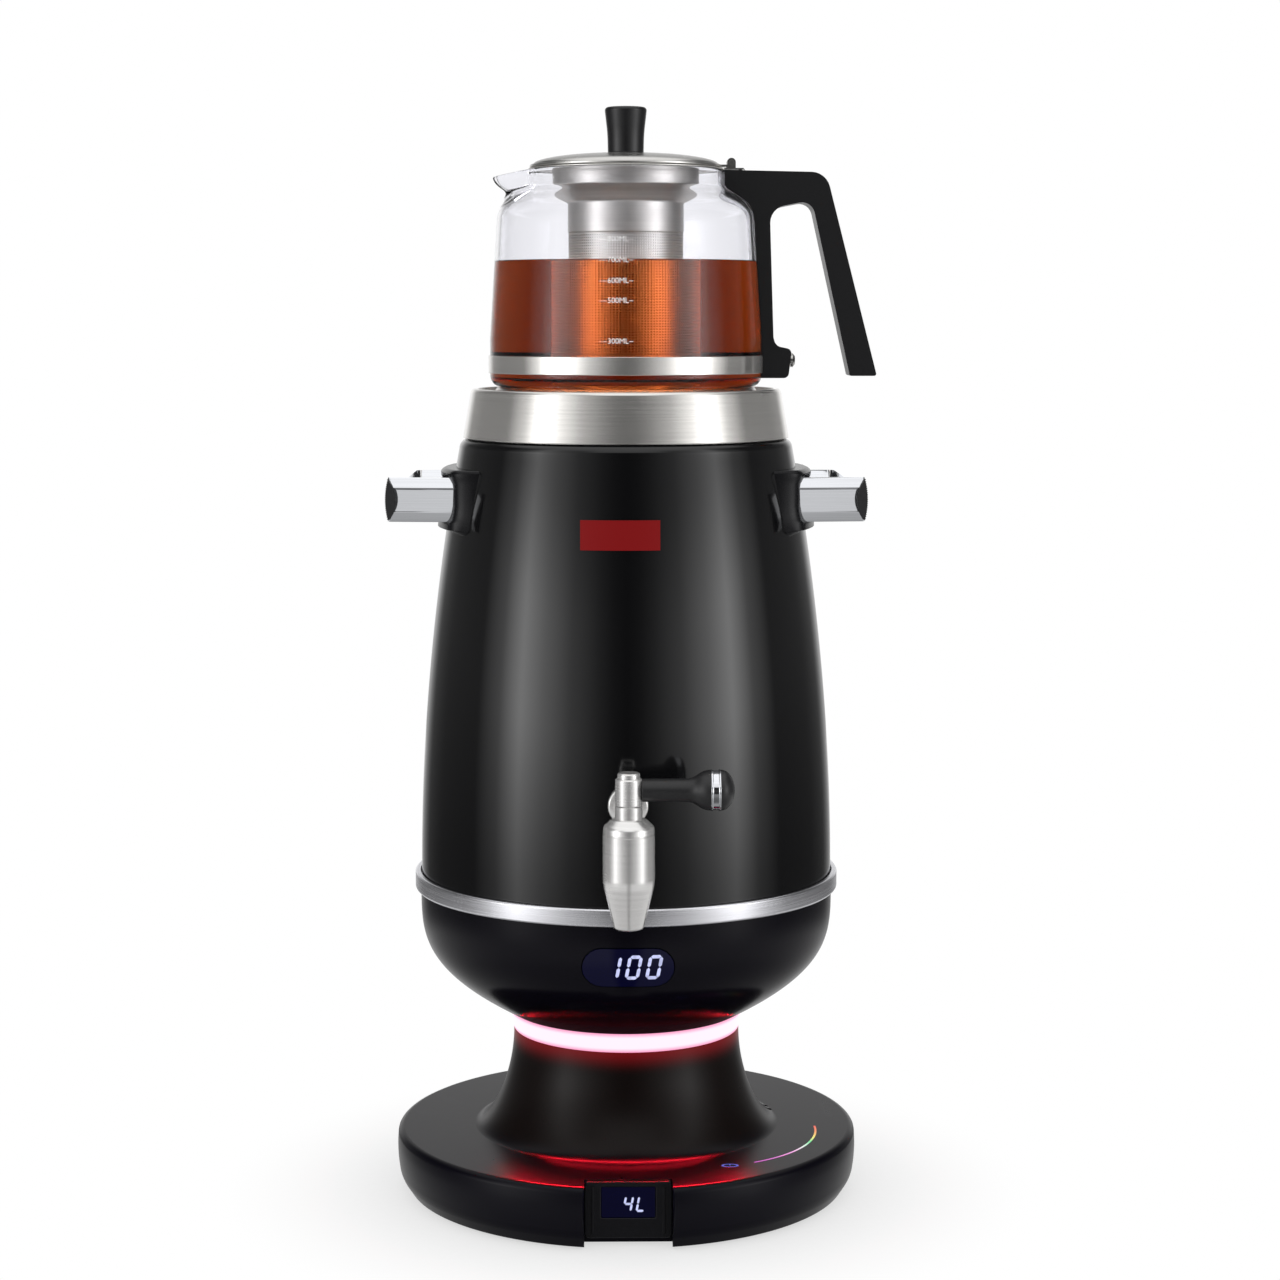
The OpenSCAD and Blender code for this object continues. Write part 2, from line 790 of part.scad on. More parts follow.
module stem_nuts() {
    color(STEEL) for (z = [neck_top - wall - nut_h, bowl_z + wall]) translate([0, 0, z]) difference() {
        cylinder(r = nut_r, h = nut_h, $fn = 6);
        translate([0, 0, -1]) cylinder(r = stem_r + running, h = nut_h + 2);
    }
}

module light_ring() {
    color(PINK) revolve([[neck_r, neck_top], [ring_top_r, bowl_z], [ring_top_r - ring_t, bowl_z],
        [neck_r - ring_t, neck_top]]);
}

module led_strip() {
    r = neck_r - ring_t - 3;
    color(LIT_WHITE) union() {
        translate([0, 0, neck_top]) tube(r, r - led_strip_t, ring_h - 1);
        around(24, r + 0.4) translate([-0.9, -1.5, neck_top + ring_h / 2 - 1.5]) cube([1.8, 3, 3]);
    }
}

function bowl_outline() = concat([[0, bowl_z]], curve(bowl_curve), [[bowl_r, belt_mid], [0, belt_mid]]);

function bowl_cavity() = concat([[0, bowl_z + wall]],
    [for (p = curve(bowl_curve, wall)) [p[0], max(p[1], bowl_z + wall)]],
    [[bowl_r - wall, belt_mid + 1], [0, belt_mid + 1]]);

// A skin on the bowl, between two depths under its surface
module bowl_skin(from, to) {
    revolve(concat(curve(bowl_curve, from), reversed(curve(bowl_curve, to))));
}

module temp_capsule(grow, y0, y1) {
    along_y(y0, y1) translate([0, temp_z]) capsule(temp_window_w + 2 * grow, temp_window_h + 2 * grow);
}

module bowl() {
    ear_y = temp_board_y + board_t;
    color(BLACK) difference() {
        union() {
            difference() {
                revolve(bowl_outline());
                revolve(bowl_cavity());
            }
            intersection() {
                revolve(bowl_outline());
                for (x = [-1, 1]) translate([x * temp_board_w / 2 - board_ear_w / 2, -bowl_r, temp_z - 2])
                    cube([board_ear_w, bowl_r + temp_board_y, 4]);
            }
        }
        temp_capsule(0, -bowl_r - cut, -bowl_r / 2);
        cylinder(r = stem_r + fit, h = bowl_z + wall + 1);
    }
}

module temp_window() {
    color(SMOKE) intersection() {
        bowl_skin(-window_proud, window_back);
        temp_capsule(-fit, -bowl_r - cut, -bowl_r / 2);
    }
}

module temp_digits() {
    color(LIT_WHITE) intersection() {
        bowl_skin(-window_proud - digit_t, -window_proud);
        along_y(-bowl_r - cut, -bowl_r / 2) translate([temp_digit_x, temp_z + 0.4])
            figures(["bc", "abcdef", "abcdef"], temp_digit_h);
    }
}

module temp_board() {
    color(BOARD) union() {
        along_y(temp_board_y, temp_board_y + board_t) translate([0, temp_z])
            square([temp_board_w + board_ear_w, temp_board_h], center = true);
        along_y(-bowl_r + wall + 2.6, temp_board_y + 0.2) translate([0, temp_z])
            square([temp_board_w - 12, temp_board_h - 4], center = true);
    }
}

module belt() {
    color(CHROME) revolve(outline([[band_in_r, belt_z, 0], [belt_r, belt_z, belt_edge],
        [belt_r, body_z, belt_edge], [band_in_r, body_z, 0], [band_in_r, belt_mid + web_t, 0],
        [band_in_r - web_in, belt_mid + web_t, 0], [band_in_r - web_in, belt_mid, 0],
        [band_in_r, belt_mid, 0]]));
}

// ---- Body and tank ----

function shell_outline(d = 0) = concat([[0, belt_mid + web_t + d], [body_low_r - d, belt_mid + web_t + d]],
    body_points(body_z, shoulder_z, d), arc([body_high_r - shoulder_r, shoulder_z], shoulder_r - d, 10, 90),
    [[0, shell_top - d]]);

// A skin on the body shell, cut to an upright block by its children
module shell_skin(from, to) {
    intersection() {
        revolve(concat(body_points(body_z, shoulder_z, from), reversed(body_points(body_z, shoulder_z, to))));
        children();
    }
}

module inlet_bar(r, y0, y1) {
    translate([0, y1, tap_z]) rotate([90, 0, 0]) cylinder(r = r, h = y1 - y0);
}

module handle_screw_places() {
    for (x = [-1, 1], y = [-1, 1]) translate([0, y * leg_y, handle_z]) rotate([0, x * 90, 0]) children();
}

module body_shell() {
    color(BLACK) difference() {
        revolve(shell_outline());
        difference() {
            revolve(shell_outline(shell_t));
            translate([0, 0, belt_mid]) cylinder(r = 1, h = 1);
        }
        translate([0, 0, belt_mid]) cylinder(r = body_low_r - shell_t, h = web_t + shell_t + 1);
        translate([0, 0, shoulder_z]) cylinder(r = mouth_r + fit, h = cut);
        inlet_bar(inlet_r + fit, tap_y, 0);
        handle_screw_places() cylinder(r = handle_screw_r + 0.3, h = handle_reach);
    }
}

module badge_blank() {
    color([0.72, 0.04, 0.06]) shell_skin(-badge_t, 0)
        translate([-badge_w / 2 - badge_left, -base_r, badge_z - badge_h / 2]) cube([badge_w, base_r, badge_h]);
}

function tank_outline(d = 0) = concat([[0, tank_z + d]],
    arc([body_r(tank_z) - tank_gap - tank_round, tank_z + tank_round], tank_round - d, 270, 360, 6),
    body_points(tank_z + tank_round + 1, tank_high_z, tank_gap + d),
    [[mouth_r - d, shoulder_z + 2], [mouth_r - d, collar_z + d], [0, collar_z + d]]);

module tank() {
    color(STEEL) difference() {
        union() {
            revolve(tank_outline());
            translate([0, 0, shell_top]) cylinder(r = collar_low_r - collar_t - 0.6, h = tank_t);
        }
        revolve(tank_outline(tank_t));
        inlet_bar(inlet_r + fit, tap_y, 0);
        for (x = [-1, 1]) translate([x * probe_x, probe_y, tank_z - 1]) cylinder(r = probe_r + fit, h = 4);
    }
}

function heater_z() = tank_z - heater_t;
function thermostat_z() = heater_z() - heater_gap - thermostat_h + 2;

module heating_plate() {
    color(STEEL) union() {
        translate([0, 0, heater_z()]) cylinder(r = heater_r, h = heater_t);
        translate([0, 0, heater_z() - 1]) rotate_extrude() translate([heater_r - 14, 0]) circle(r = 3.2);
        translate([0, 0, thermostat_z() + thermostat_h]) cylinder(r = 6, h = heater_gap);
    }
}

module thermostat() {
    color(RUBBER) translate([0, 0, thermostat_z()]) cylinder(r = thermostat_r, h = thermostat_h);
}

module probe(h) {
    union() {
        translate([0, 0, tank_z - 6]) cylinder(r = probe_r, h = h);
        translate([0, 0, tank_z - 6]) cylinder(r = seal_r, h = 6 - seal_t);
    }
}

module temp_probe() {
    color(STEEL) translate([probe_x, probe_y, 0]) probe(probe_h);
}

module level_probe() {
    color(STEEL) translate([-probe_x, probe_y, 0]) probe(level_probe_h);
}

module probe_seals() {
    color(SILICONE) for (x = [-1, 1]) translate([x * probe_x, probe_y, tank_z - seal_t])
        tube(seal_r, probe_r + fit, seal_t);
}

module collar() {
    low_in = collar_low_r - collar_t;
    high_in = collar_high_r - collar_t;
    color(STEEL) revolve(outline([[collar_low_r, shell_top + seat, 0],
        [collar_high_r, collar_top, collar_edge], [ledge_r, collar_top, 0.4], [ledge_r, ledge_z, 0],
        [ledge_r - ledge_w, ledge_z, 0], [ledge_r - ledge_w, ledge_z - collar_t, 0],
        [high_in, ledge_z - collar_t, 0], [low_in - 0.4, collar_z + collar_t, 0],
        [mouth_r, collar_z + collar_t, 0], [mouth_r, collar_z, 0],
        [low_in - 0.3, collar_z, 0], [low_in - 0.3, shell_top + seat, 0]]));
}

// ---- Side handles, drawn on the right and mirrored to the left ----

function bar_section(w, h, r) = outline([[-w / 2, -h / 2, r], [w / 2, -h / 2, r], [w / 2, h / 2, r],
    [-w / 2, h / 2, r]], 8);

module handle_legs(grow = 0) {
    for (y = [-1, 1]) along_x(leg_root - grow, handle_end) translate([y * leg_y, handle_z])
        square([handle_bar_t + 2 * grow, handle_bar_h + 2 * grow], center = true);
}

module boss() {
    low = handle_z - boss_h / 2;
    color(RUBBER) difference() {
        union() {
            translate([0, 0, low]) linear_extrude(boss_h) polygon(outline([
                [boss_reach, boss_half, boss_round], [boss_reach, -boss_half, boss_round],
                [boss_half, -boss_half, 0], [boss_half, boss_half, 0]]));
            translate([0, 0, low]) linear_extrude(boss_lip_h - fit) polygon(outline([
                [boss_reach + boss_lip, boss_half - boss_lip, boss_round],
                [boss_reach + boss_lip, -boss_half + boss_lip, boss_round],
                [boss_half, -boss_half + boss_lip, 0], [boss_half, boss_half - boss_lip, 0]]));
        }
        revolve(concat([[0, belt_z]], body_points(body_z, shoulder_z), [[0, shoulder_z]]));
        handle_legs(fit);
        handle_screw_places() cylinder(r = handle_screw_r + 0.3, h = boss_reach + boss_lip);
    }
}

module handle_plan() {
    half = handle_span / 2;
    slot = half - handle_bar_t;
    slot_end = handle_end - handle_bar_t + grip_t / 2;
    difference() {
        polygon(outline([[leg_root, half, 0], [handle_end, half, handle_corner],
            [handle_end, -half, handle_corner], [leg_root, -half, 0]]));
        polygon(outline([[leg_root - 1, slot, 0], [slot_end, slot, 3], [slot_end, -slot, 3],
            [leg_root - 1, -slot, 0]]));
    }
}

module handle() {
    color(CHROME) difference() {
        intersection() {
            translate([0, 0, handle_z - handle_bar_h / 2]) linear_extrude(handle_bar_h) handle_plan();
            translate([0, 0, handle_z]) along_x(leg_root - 1, handle_end + 1)
                polygon(bar_section(handle_span, handle_bar_h, handle_round));
            translate([0, 0, handle_z]) along_y(-handle_span, handle_span) translate([handle_end / 2, 0])
                polygon(bar_section(handle_end, handle_bar_h, handle_round / 2));
        }
        handle_screw_places() cylinder(r = handle_screw_r, h = leg_root + handle_screw_grip + 1);
    }
}

module grip() {
    h = handle_bar_h - handle_round;
    w = handle_span - 2 * handle_corner;
    rib_count = floor((h - 1) / grip_rib_pitch);
    color(RUBBER) union() {
        along_x(handle_end, handle_reach - grip_rib) translate([-w / 2, handle_z - h / 2]) square([w, h]);
        for (i = [0:rib_count]) along_x(handle_reach - grip_rib - 0.1, handle_reach)
            translate([-w / 2, handle_z - h / 2 + i * (h - grip_rib_pitch / 2) / rib_count])
                square([w, grip_rib_pitch / 2]);
    }
}

module handle_screws() {
    reach = sqrt(pow(body_r(handle_z + handle_screw_head_r) - shell_t, 2)
        - pow(leg_y + handle_screw_head_r, 2));
    color(STEEL) handle_screw_places() {
        translate([0, 0, reach - handle_screw_head_t]) cylinder(r = handle_screw_head_r, h = handle_screw_head_t);
        translate([0, 0, reach - 0.5]) cylinder(r = handle_screw_r - fit, h = leg_root + handle_screw_grip - reach);
    }
}

// ---- Tap: its upright axis is at tap_y, and its lever points to +X at rest ----

module at_tap() {
    translate([0, tap_y, 0]) children();
}

module tap_flange() {
    color(CHROME) difference() {
        inlet_bar(tap_flange_r, -body_r(tap_z) - flange_t, -body_r(tap_z) + 4);
        revolve(concat([[0, belt_z]], body_points(body_z, shoulder_z), [[0, shoulder_z]]));
        inlet_bar(inlet_r + fit, tap_y, 0);
    }
}

module tap_body() {
    low = tap_z - shoulder_drop - shoulder_h;
    tank_in = -(body_r(tap_z) - tank_gap - tank_t);
    color(CHROME) difference() {
        union() {
            at_tap() revolve(outline([[0, outlet_z, 0], [outlet_r, outlet_z, 1.4], [tap_r + 0.1, taper_z, 8],
                [tap_r - 0.2, low, 0.8], [column_r + 1.4, low + shoulder_h, 0], [column_r, low + shoulder_h, 0],
                [column_r, column_low, 0], [0, column_low, 0]]));
            inlet_bar(inlet_r, tap_y, tank_in + tap_gasket_t + tap_nut_t + 1);
        }
        at_tap() {
            translate([0, 0, outlet_z - 1]) cylinder(r = outlet_bore_r, h = plug_floor - outlet_z);
            translate([0, 0, plug_floor - 1.2]) cylinder(r = plug_r + running, h = plug_len + 2);
            translate([0, 0, groove_z]) rotate_extrude() translate([tap_r - groove_d, 0]) square([2, 0.8]);
        }
        inlet_bar(inlet_bore_r, tap_y, 0);
    }
}

module tap_spacer() {
    color(SILICONE) difference() {
        inlet_bar(tap_gasket_r, -body_r(tap_z), -body_r(tap_z) + tank_gap + tank_t + 2);
        difference() {
            translate([0, 0, belt_z]) cylinder(r = belt_r + cut, h = shell_top);
            revolve(shell_outline(shell_t));
        }
        revolve(tank_outline());
        inlet_bar(inlet_r + fit, tap_y, 0);
    }
}

module tap_gasket() {
    inner = body_r(tap_z) - tank_gap - tank_t;
    color(SILICONE) difference() {
        intersection() {
            inlet_bar(tap_gasket_r, -inner - 2, -inner + tap_gasket_t);
            revolve(tank_outline(tank_t));
        }
        inlet_bar(inlet_r + fit, tap_y, 0);
    }
}

module tap_nut() {
    y = -(body_r(tap_z) - tank_gap - tank_t) + tap_gasket_t;
    color(STEEL) difference() {
        translate([0, y + tap_nut_t, tap_z]) rotate([90, 0, 0]) cylinder(r = nut_flat_r, h = tap_nut_t, $fn = 6);
        inlet_bar(inlet_r + running, tap_y, 0);
    }
}

module tap_plug() {
    color(CHROME) at_tap() difference() {
        union() {
            translate([0, 0, plug_floor]) cylinder(r = plug_r, h = plug_len + 1);
            translate([0, 0, head_z]) cylinder(r = column_r, h = head_h);
        }
        translate([-plug_r - 1, 0, tap_z]) rotate([0, 90, 0]) cylinder(r = plug_port_r, h = plug_r + 1);
        translate([0, 0, plug_floor - 1]) cylinder(r = plug_port_r, h = tap_z - plug_floor + 1);
        translate([0, 0, lever_z]) rotate([0, 90, 0]) cylinder(r = lever_pin_r + fit, h = column_r + 1);
    }
}

module tap_cap() {
    color(CHROME) at_tap() translate([0, 0, head_z + head_h])
        revolve(outline([[0, 0, 0], [cap_r, 0, 0], [cap_r, cap_h, 0.8], [0, cap_h, 0]]));
}

// Round pieces of the lever, drawn as [distance from the tap's axis, radius]
module lever_turned(points) {
    at_tap() translate([0, 0, lever_z]) rotate([0, 90, 0])
        rotate_extrude() polygon([for (p = points) [p[1], p[0]]]);
}

module lever_pin() {
    color(STEEL) lever_turned([[1, 0], [1, lever_pin_r], [lever_pin_len, lever_pin_r], [lever_pin_len, 0]]);
}

module tap_lever() {
    ring_x = lever_len - lever_knob_w - lever_ring_w;
    flare = curve([[ring_x - lever_flare, lever_r], [ring_x - lever_flare / 2, lever_r],
        [ring_x - lever_flare / 2, knob_r - 0.4], [ring_x, knob_r - 0.2]], 0, 10);
    color(BLACK) difference() {
        lever_turned(concat([[0, 0], [0, lever_r]], flare, [[ring_x, 0]]));
        at_tap() translate([0, 0, plug_floor]) cylinder(r = column_r + fit, h = 2 * plug_len + head_h);
        lever_turned([[0, 0], [0, lever_pin_r + fit], [lever_pin_len + fit, lever_pin_r + fit],
            [lever_pin_len + fit, 0]]);
    }
}

module lever_ring() {
    x = lever_len - lever_knob_w - lever_ring_w;
    color(CHROME) lever_turned(outline([[x, 0, 0], [x, knob_r, 0.5], [x + lever_ring_w, knob_r, 0.5],
        [x + lever_ring_w, 0, 0]]));
}

module lever_knob() {
    x = lever_len - lever_knob_w;
    color(BLACK) lever_turned(concat([[x, 0]],
        [for (a = [90:-10:0]) [x + lever_knob_w * cos(a), (knob_r - 0.2) * sin(a)]]));
}

// ---- Tank lid, which carries the teapot ----

module tank_lid() {
    lid_out = ledge_r - seat;
    skirt = ledge_r - ledge_w - seat;
    low = ledge_z + seat + gasket_t;
    top = pot_z - seat;
    color(STEEL) difference() {
        revolve([[0, top], [lid_seat_r, top], [lid_seat_r + 2, low + collar_t], [lid_out, low + collar_t],
            [lid_out, low], [skirt, low], [skirt, low - lid_skirt_h], [skirt - collar_t, low - lid_skirt_h],
            [skirt - collar_t, low], [lid_seat_r, low], [lid_seat_r - collar_t, top - collar_t],
            [0, top - collar_t]]);
        around(steam_hole_count, lid_seat_r / 2) translate([0, 0, low - 1]) cylinder(r = steam_hole_r, h = cut);
        translate([0, 0, low - 1]) cylinder(r = steam_hole_r, h = cut);
    }
}

module tank_lid_gasket() {
    color(SILICONE) translate([0, 0, ledge_z + seat])
        tube(ledge_r - seat, ledge_r - ledge_w - seat + fit, gasket_t);
}

// ---- Teapot ----

function pot_outline(d = 0) = concat([[0, pot_z + d]],
    arc([pot_r - pot_corner, pot_z + pot_corner], pot_corner - d, 270, 360, 6),
    [[pot_r - d, wall_low_z], [pot_high_r - d, shoulder_low_z]],
    curve([[pot_high_r, shoulder_low_z], [pot_high_r, neck_z - 4], [pot_neck_r, neck_z - 4],
        [pot_neck_r, neck_z + 1]], d, 12),
    [[pot_neck_r - d, rim_z + (d > 0 ? 1 : 0)], [0, rim_z + (d > 0 ? 1 : 0)]]);

// The spout, a lip that widens the neck towards -X and droops to its tip; its channel is d inside it
module spout_form(d) {
    above = d > 0 ? 2 : 0;
    hull() {
        translate([spout_tip_r - pot_neck_r - spout_reach, 0, rim_z - spout_droop - spout_tip_h + d])
            cylinder(r = spout_tip_r - d, h = spout_tip_h + above - d, $fn = 32);
        translate([-pot_neck_r + 8, 0, rim_z - spout_drop + d])
            cylinder(r = spout_w / 2 - d, h = spout_drop + above - d, $fn = 48);
    }
}

module pot_glass() {
    color(GLASS) difference() {
        union() {
            revolve(pot_outline());
            spout_form(0);
        }
        revolve(pot_outline(glass_t));
        spout_form(glass_t);
    }
}

module pot_band() {
    color(CHROME) translate([0, 0, pot_z + band_z]) difference() {
        tube(band_out, pot_r + fit, band_h);
        translate([pot_r - 2, -grip_w / 4, -1]) cube([6, grip_w / 2, band_h + 2]);
    }
}

// Side view of the handle as [x, z, corner radius], from its neck end round the grip and back
module handle_outline() {
    bar_low = rim_z - bar_h;
    grip_in = tip_x - grip_thick;
    polygon(outline([[pot_neck_r - 1, rim_z - 0.4, 0], [grip_top_x - 4, rim_z - 1.4, 9], [tip_x, tip_z, 1],
        [grip_in, tip_z, 1], [grip_top_x - grip_thick + 2, bar_low + 1.4, 6], [strap_out - 2, bar_low - 2.4, 8],
        [strap_out, pot_z + foot_top + 4, 4], [strap_out + 1, pot_z + foot_top, 4],
        [foot_x, pot_z + foot_top - 1.6, 2.4], [foot_x - 1.6, pot_z + 4, 2.4],
        [pot_r - 4, pot_z + 4, 0], [pot_r - 4, shoulder_low_z, 0], [pot_neck_r - 1, neck_z, 0]]));
}

module pot_handle() {
    color(BLACK) difference() {
        along_y(-grip_w / 2, grip_w / 2) handle_outline();
        revolve(pot_outline(-fit));
        translate([0, 0, pot_z + band_z - fit]) cylinder(r = band_out + fit, h = band_h + 2 * fit);
        translate([pot_r, 0, band_screw_z]) rotate([0, 90, 0]) cylinder(r = band_screw_r + fit, h = cut);
        translate([bracket_peg_x, 0, rim_z - 8]) cylinder(r = band_screw_r, h = 8);
    }
}

module band_screw() {
    color(STEEL) translate([0, 0, band_screw_z]) rotate([0, 90, 0]) {
        translate([0, 0, band_out + 2 * fit]) cylinder(r = band_screw_r, h = foot_x - band_out);
        translate([0, 0, foot_x]) rotate_extrude() polygon([[0, 0], [screw_head_r, 0],
            [screw_head_r, screw_head_t * 0.5], [screw_head_r * 0.6, screw_head_t], [0, screw_head_t]]);
    }
}

module hinge_bracket() {
    color(STEEL) difference() {
        union() {
            translate([flange_r + seat, -bracket_w / 2, rim_z + fit]) cube([bracket_len, bracket_w, bracket_t]);
            for (y = [-1, 1]) translate([0, y * (knuckle_w / 2 + ear_gap + ear_w / 2), 0])
                along_y(-ear_w / 2, ear_w / 2) union() {
                    translate([hinge_x, hinge_z]) circle(r = knuckle_r);
                    translate([hinge_x - knuckle_r, rim_z + fit]) square([2 * knuckle_r, hinge_z - rim_z - fit]);
                }
            translate([bracket_peg_x, 0, rim_z - 7]) cylinder(r = band_screw_r - fit, h = 7.5);
        }
        translate([hinge_x, cut / 2, hinge_z]) rotate([90, 0, 0]) cylinder(r = hinge_pin_r, h = cut);
        cylinder(r = flange_r + seat, h = 2 * rim_z);
    }
}

module infuser() {
    step_z = flange_z - skirt_h;
    t = sheet_t;
    color(STEEL) revolve([[skirt_r - t, flange_z + t], [flange_r, flange_z + t], [flange_r, flange_z],
        [skirt_r, flange_z], [skirt_r, step_z], [basket_r, step_z - cone_h], [basket_r, basket_z],
        [0, basket_z], [0, basket_z + t], [basket_r - t, basket_z + t], [basket_r - t, step_z - cone_h + t / 2],
        [skirt_r - t, step_z + t / 2]]);
}

// ---- Pot lid, which turns on the hinge pin ----

function dome_points(d, n = 12) = [for (i = [0:n]) let (a = 90 * i / n)
    [(lid_r - lid_hem) * cos(a), lid_z + 1.2 + (dome_h - 1.2) * sin(a) - d]];

module pot_lid() {
    t = sheet_t;
    color(STEEL) difference() {
        union() {
            revolve(concat([[lid_skirt_r, lid_z], [lid_r, lid_z], [lid_r, lid_z + 1.2]], dome_points(0),
                [[0, lid_z + dome_h - t]], reversed(dome_points(t)), [[lid_r - 2 * lid_hem, lid_z + t],
                [lid_skirt_r - t, lid_z + t], [lid_skirt_r - t, lid_z - pot_lid_skirt_h],
                [lid_skirt_r, lid_z - pot_lid_skirt_h]]));
            along_y(-knuckle_w / 2, knuckle_w / 2) union() {
                translate([hinge_x, hinge_z]) circle(r = knuckle_r);
                translate([lid_r - 2, hinge_z - knuckle_r]) square([hinge_x - lid_r + 2, t + 0.4]);
            }
        }
        translate([hinge_x, cut / 2, hinge_z]) rotate([90, 0, 0]) cylinder(r = hinge_pin_r + running, h = cut);
    }
}

module lid_knob() {
    color(BLACK) revolve(outline([[0, knob_z, 0], [lid_knob_low_r, knob_z, 0],
        [lid_knob_high_r, knob_z + lid_knob_h, 1.6], [0, knob_z + lid_knob_h, 0]]));
}

module hinge_pin() {
    color(STEEL) translate([hinge_x, bracket_w / 2 + 0.5, hinge_z]) rotate([90, 0, 0])
        cylinder(r = hinge_pin_r, h = bracket_w + 1);
}

foot_ring();
base_plate();
base_screws();
base_cover();
front_panel();
level_window();
level_digits();
level_board();
touch_strip();
power_key();
control_board();
wire_harness();
cord_gland();
stem_tube();
stem_nuts();
light_ring();
led_strip();
bowl();
temp_window();
temp_digits();
temp_board();
belt();
body_shell();
badge_blank();
tank();
heating_plate();
thermostat();
temp_probe();
level_probe();
probe_seals();
collar();
mirror([1, 0, 0]) boss();  // left_boss
boss();  // right_boss
mirror([1, 0, 0]) handle();  // left_handle
handle();  // right_handle
mirror([1, 0, 0]) grip();  // left_grip
grip();  // right_grip
handle_screws();
tap_flange();
tap_body();
tap_spacer();
tap_gasket();
tap_nut();
tap_plug();
tap_cap();
lever_pin();
tap_lever();
lever_ring();
lever_knob();
tank_lid();
tank_lid_gasket();
pot_glass();
pot_band();
pot_handle();
band_screw();
hinge_bracket();
infuser();
pot_lid();
lid_knob();
hinge_pin();
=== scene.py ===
"""Electric samovar with a glass teapot: the dressed model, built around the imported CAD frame.

Profiles and places are written in millimetres and become metres as each mesh is started.
"""
from math import atan2, copysign, cos, pi, radians, sin, sqrt

import bmesh
import bpy
from mathutils import Matrix, Vector


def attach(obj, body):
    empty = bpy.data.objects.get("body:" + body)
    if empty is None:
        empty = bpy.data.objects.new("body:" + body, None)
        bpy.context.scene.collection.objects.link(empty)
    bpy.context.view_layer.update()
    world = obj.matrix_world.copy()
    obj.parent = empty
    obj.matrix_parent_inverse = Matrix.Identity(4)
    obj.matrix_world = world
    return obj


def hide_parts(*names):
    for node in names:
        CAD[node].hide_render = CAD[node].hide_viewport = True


bl_info = {
    "name": "Electric samovar",
    "version": (1, 0, 0),
    "blender": (4, 5, 0),
    "location": "3D View > Sidebar > Samovar",
    "description": "Builds the housings, tap, handles, teapot and studio of an electric samovar",
    "category": "Object",
}

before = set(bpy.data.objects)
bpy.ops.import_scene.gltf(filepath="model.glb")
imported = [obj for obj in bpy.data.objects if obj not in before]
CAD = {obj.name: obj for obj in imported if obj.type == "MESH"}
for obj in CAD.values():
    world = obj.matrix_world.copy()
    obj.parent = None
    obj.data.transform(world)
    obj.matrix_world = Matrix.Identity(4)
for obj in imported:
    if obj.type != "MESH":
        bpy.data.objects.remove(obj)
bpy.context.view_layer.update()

MM = 0.001
STEPS = 192          # steps of a full turn on large pieces
SMALL_STEPS = 96     # steps of a full turn on small pieces
CORNER_CUTS = 5      # cuts that round one corner of a profile

# Places that several pieces share, in millimetres
BASE_R, NECK_TOP = 110, 77.3
BOWL_Z, BELT_Z, SHELL_FOOT, BODY_Z = 86.5, 146.2, 151.1, 154.5
BOWL_R, BOWL_RIM = 97.6, 149.6
SHOULDER_R, SHOULDER_Z, SHELL_TOP = 73.5, 354.0, 358.5
BODY_LOW_R, BODY_TAPER, BODY_BULGE = 97.2, 19.2, 1.9   # its foot's radius, how far it narrows, and how late
POT_Z, RIM_Z = 382.5, 482.5
TAP_Y, INLET_Z, LEVER_Z = -126.0, 200.6, 212.4
HANDLE_Z = 331.5
HOLLOW_X, HOLLOW_R, GRIP_BACK_R = 119.6, 14.2, 14.1                 # the hollow in a handle, and the grip in it
POT_R, POT_LOW_Z, POT_TAPER, POT_TAPER_H = 63.4, 404.5, 3.4, 54.1   # the glass's wall, which narrows upwards
KEY_AT = (88 * cos(radians(-58)), 88 * sin(radians(-58)))           # the power key's middle
STRIP_CENTRE = (32 * cos(radians(-29)), 32 * sin(radians(-29)))     # the middle of the touch strip's curve
FLARE = [(73, 30), (66.1, 30), (53.8, 51.3), (53.8, NECK_TOP)]
BOWL = [(55.3, BOWL_Z), (98, 109.8), (BOWL_R, 122.9), (BOWL_R, BELT_Z)]
POT_SHOULDER = [(60, 458.6), (60, 471), (46.4, 471), (46.4, 476)]

# Where looks change, in metres
PEDESTAL_START = (0.028, 0.036)      # heights at which the disc's colour gives way to the pedestal's
PAINTED_GLOW_START = 0.064                   # height from which the ring's red light is painted as a faint glow down the pedestal
RING_LOWER_EDGE = (0.0782, 0.0806)   # heights between which the ring's glow ends
RING_REACH = (0.03, 0.045)           # distances from which the ring shows in polished pieces
MIRRORED_GLOW = 13.0                 # how much more strongly it shows there
SHADOW_END = (0.1, 0.2)              # distances from the middle at which the floor's shadow fades
DARK, WHITE = (0.0, 0.0, 0.0, 1.0), (1.0, 1.0, 1.0, 1.0)

EFFECTS = {}         # shared node groups by name
FINISHES = {}        # materials by name


# ---- Profiles ----

def bezier(ends, inside=0.0, count=28):
    """Points of a cubic curve, moved towards its left side by inside."""
    p = [Vector(e) for e in ends]
    points = []
    for i in range(count + 1):
        t = i / count
        at = (1 - t) ** 3 * p[0] + 3 * t * (1 - t) ** 2 * p[1] + 3 * t * t * (1 - t) * p[2] + t ** 3 * p[3]
        way = (1 - t) ** 2 * (p[1] - p[0]) + 2 * t * (1 - t) * (p[2] - p[1]) + t * t * (p[3] - p[2])
        way.normalize()
        points.append((at.x - way.y * inside, at.y + way.x * inside))
    return points


def body_r(z):
    """Outer radius of the body shell at height z."""
    return BODY_LOW_R - BODY_TAPER * max(0.0, (z - BODY_Z) / (SHOULDER_Z - BODY_Z)) ** BODY_BULGE


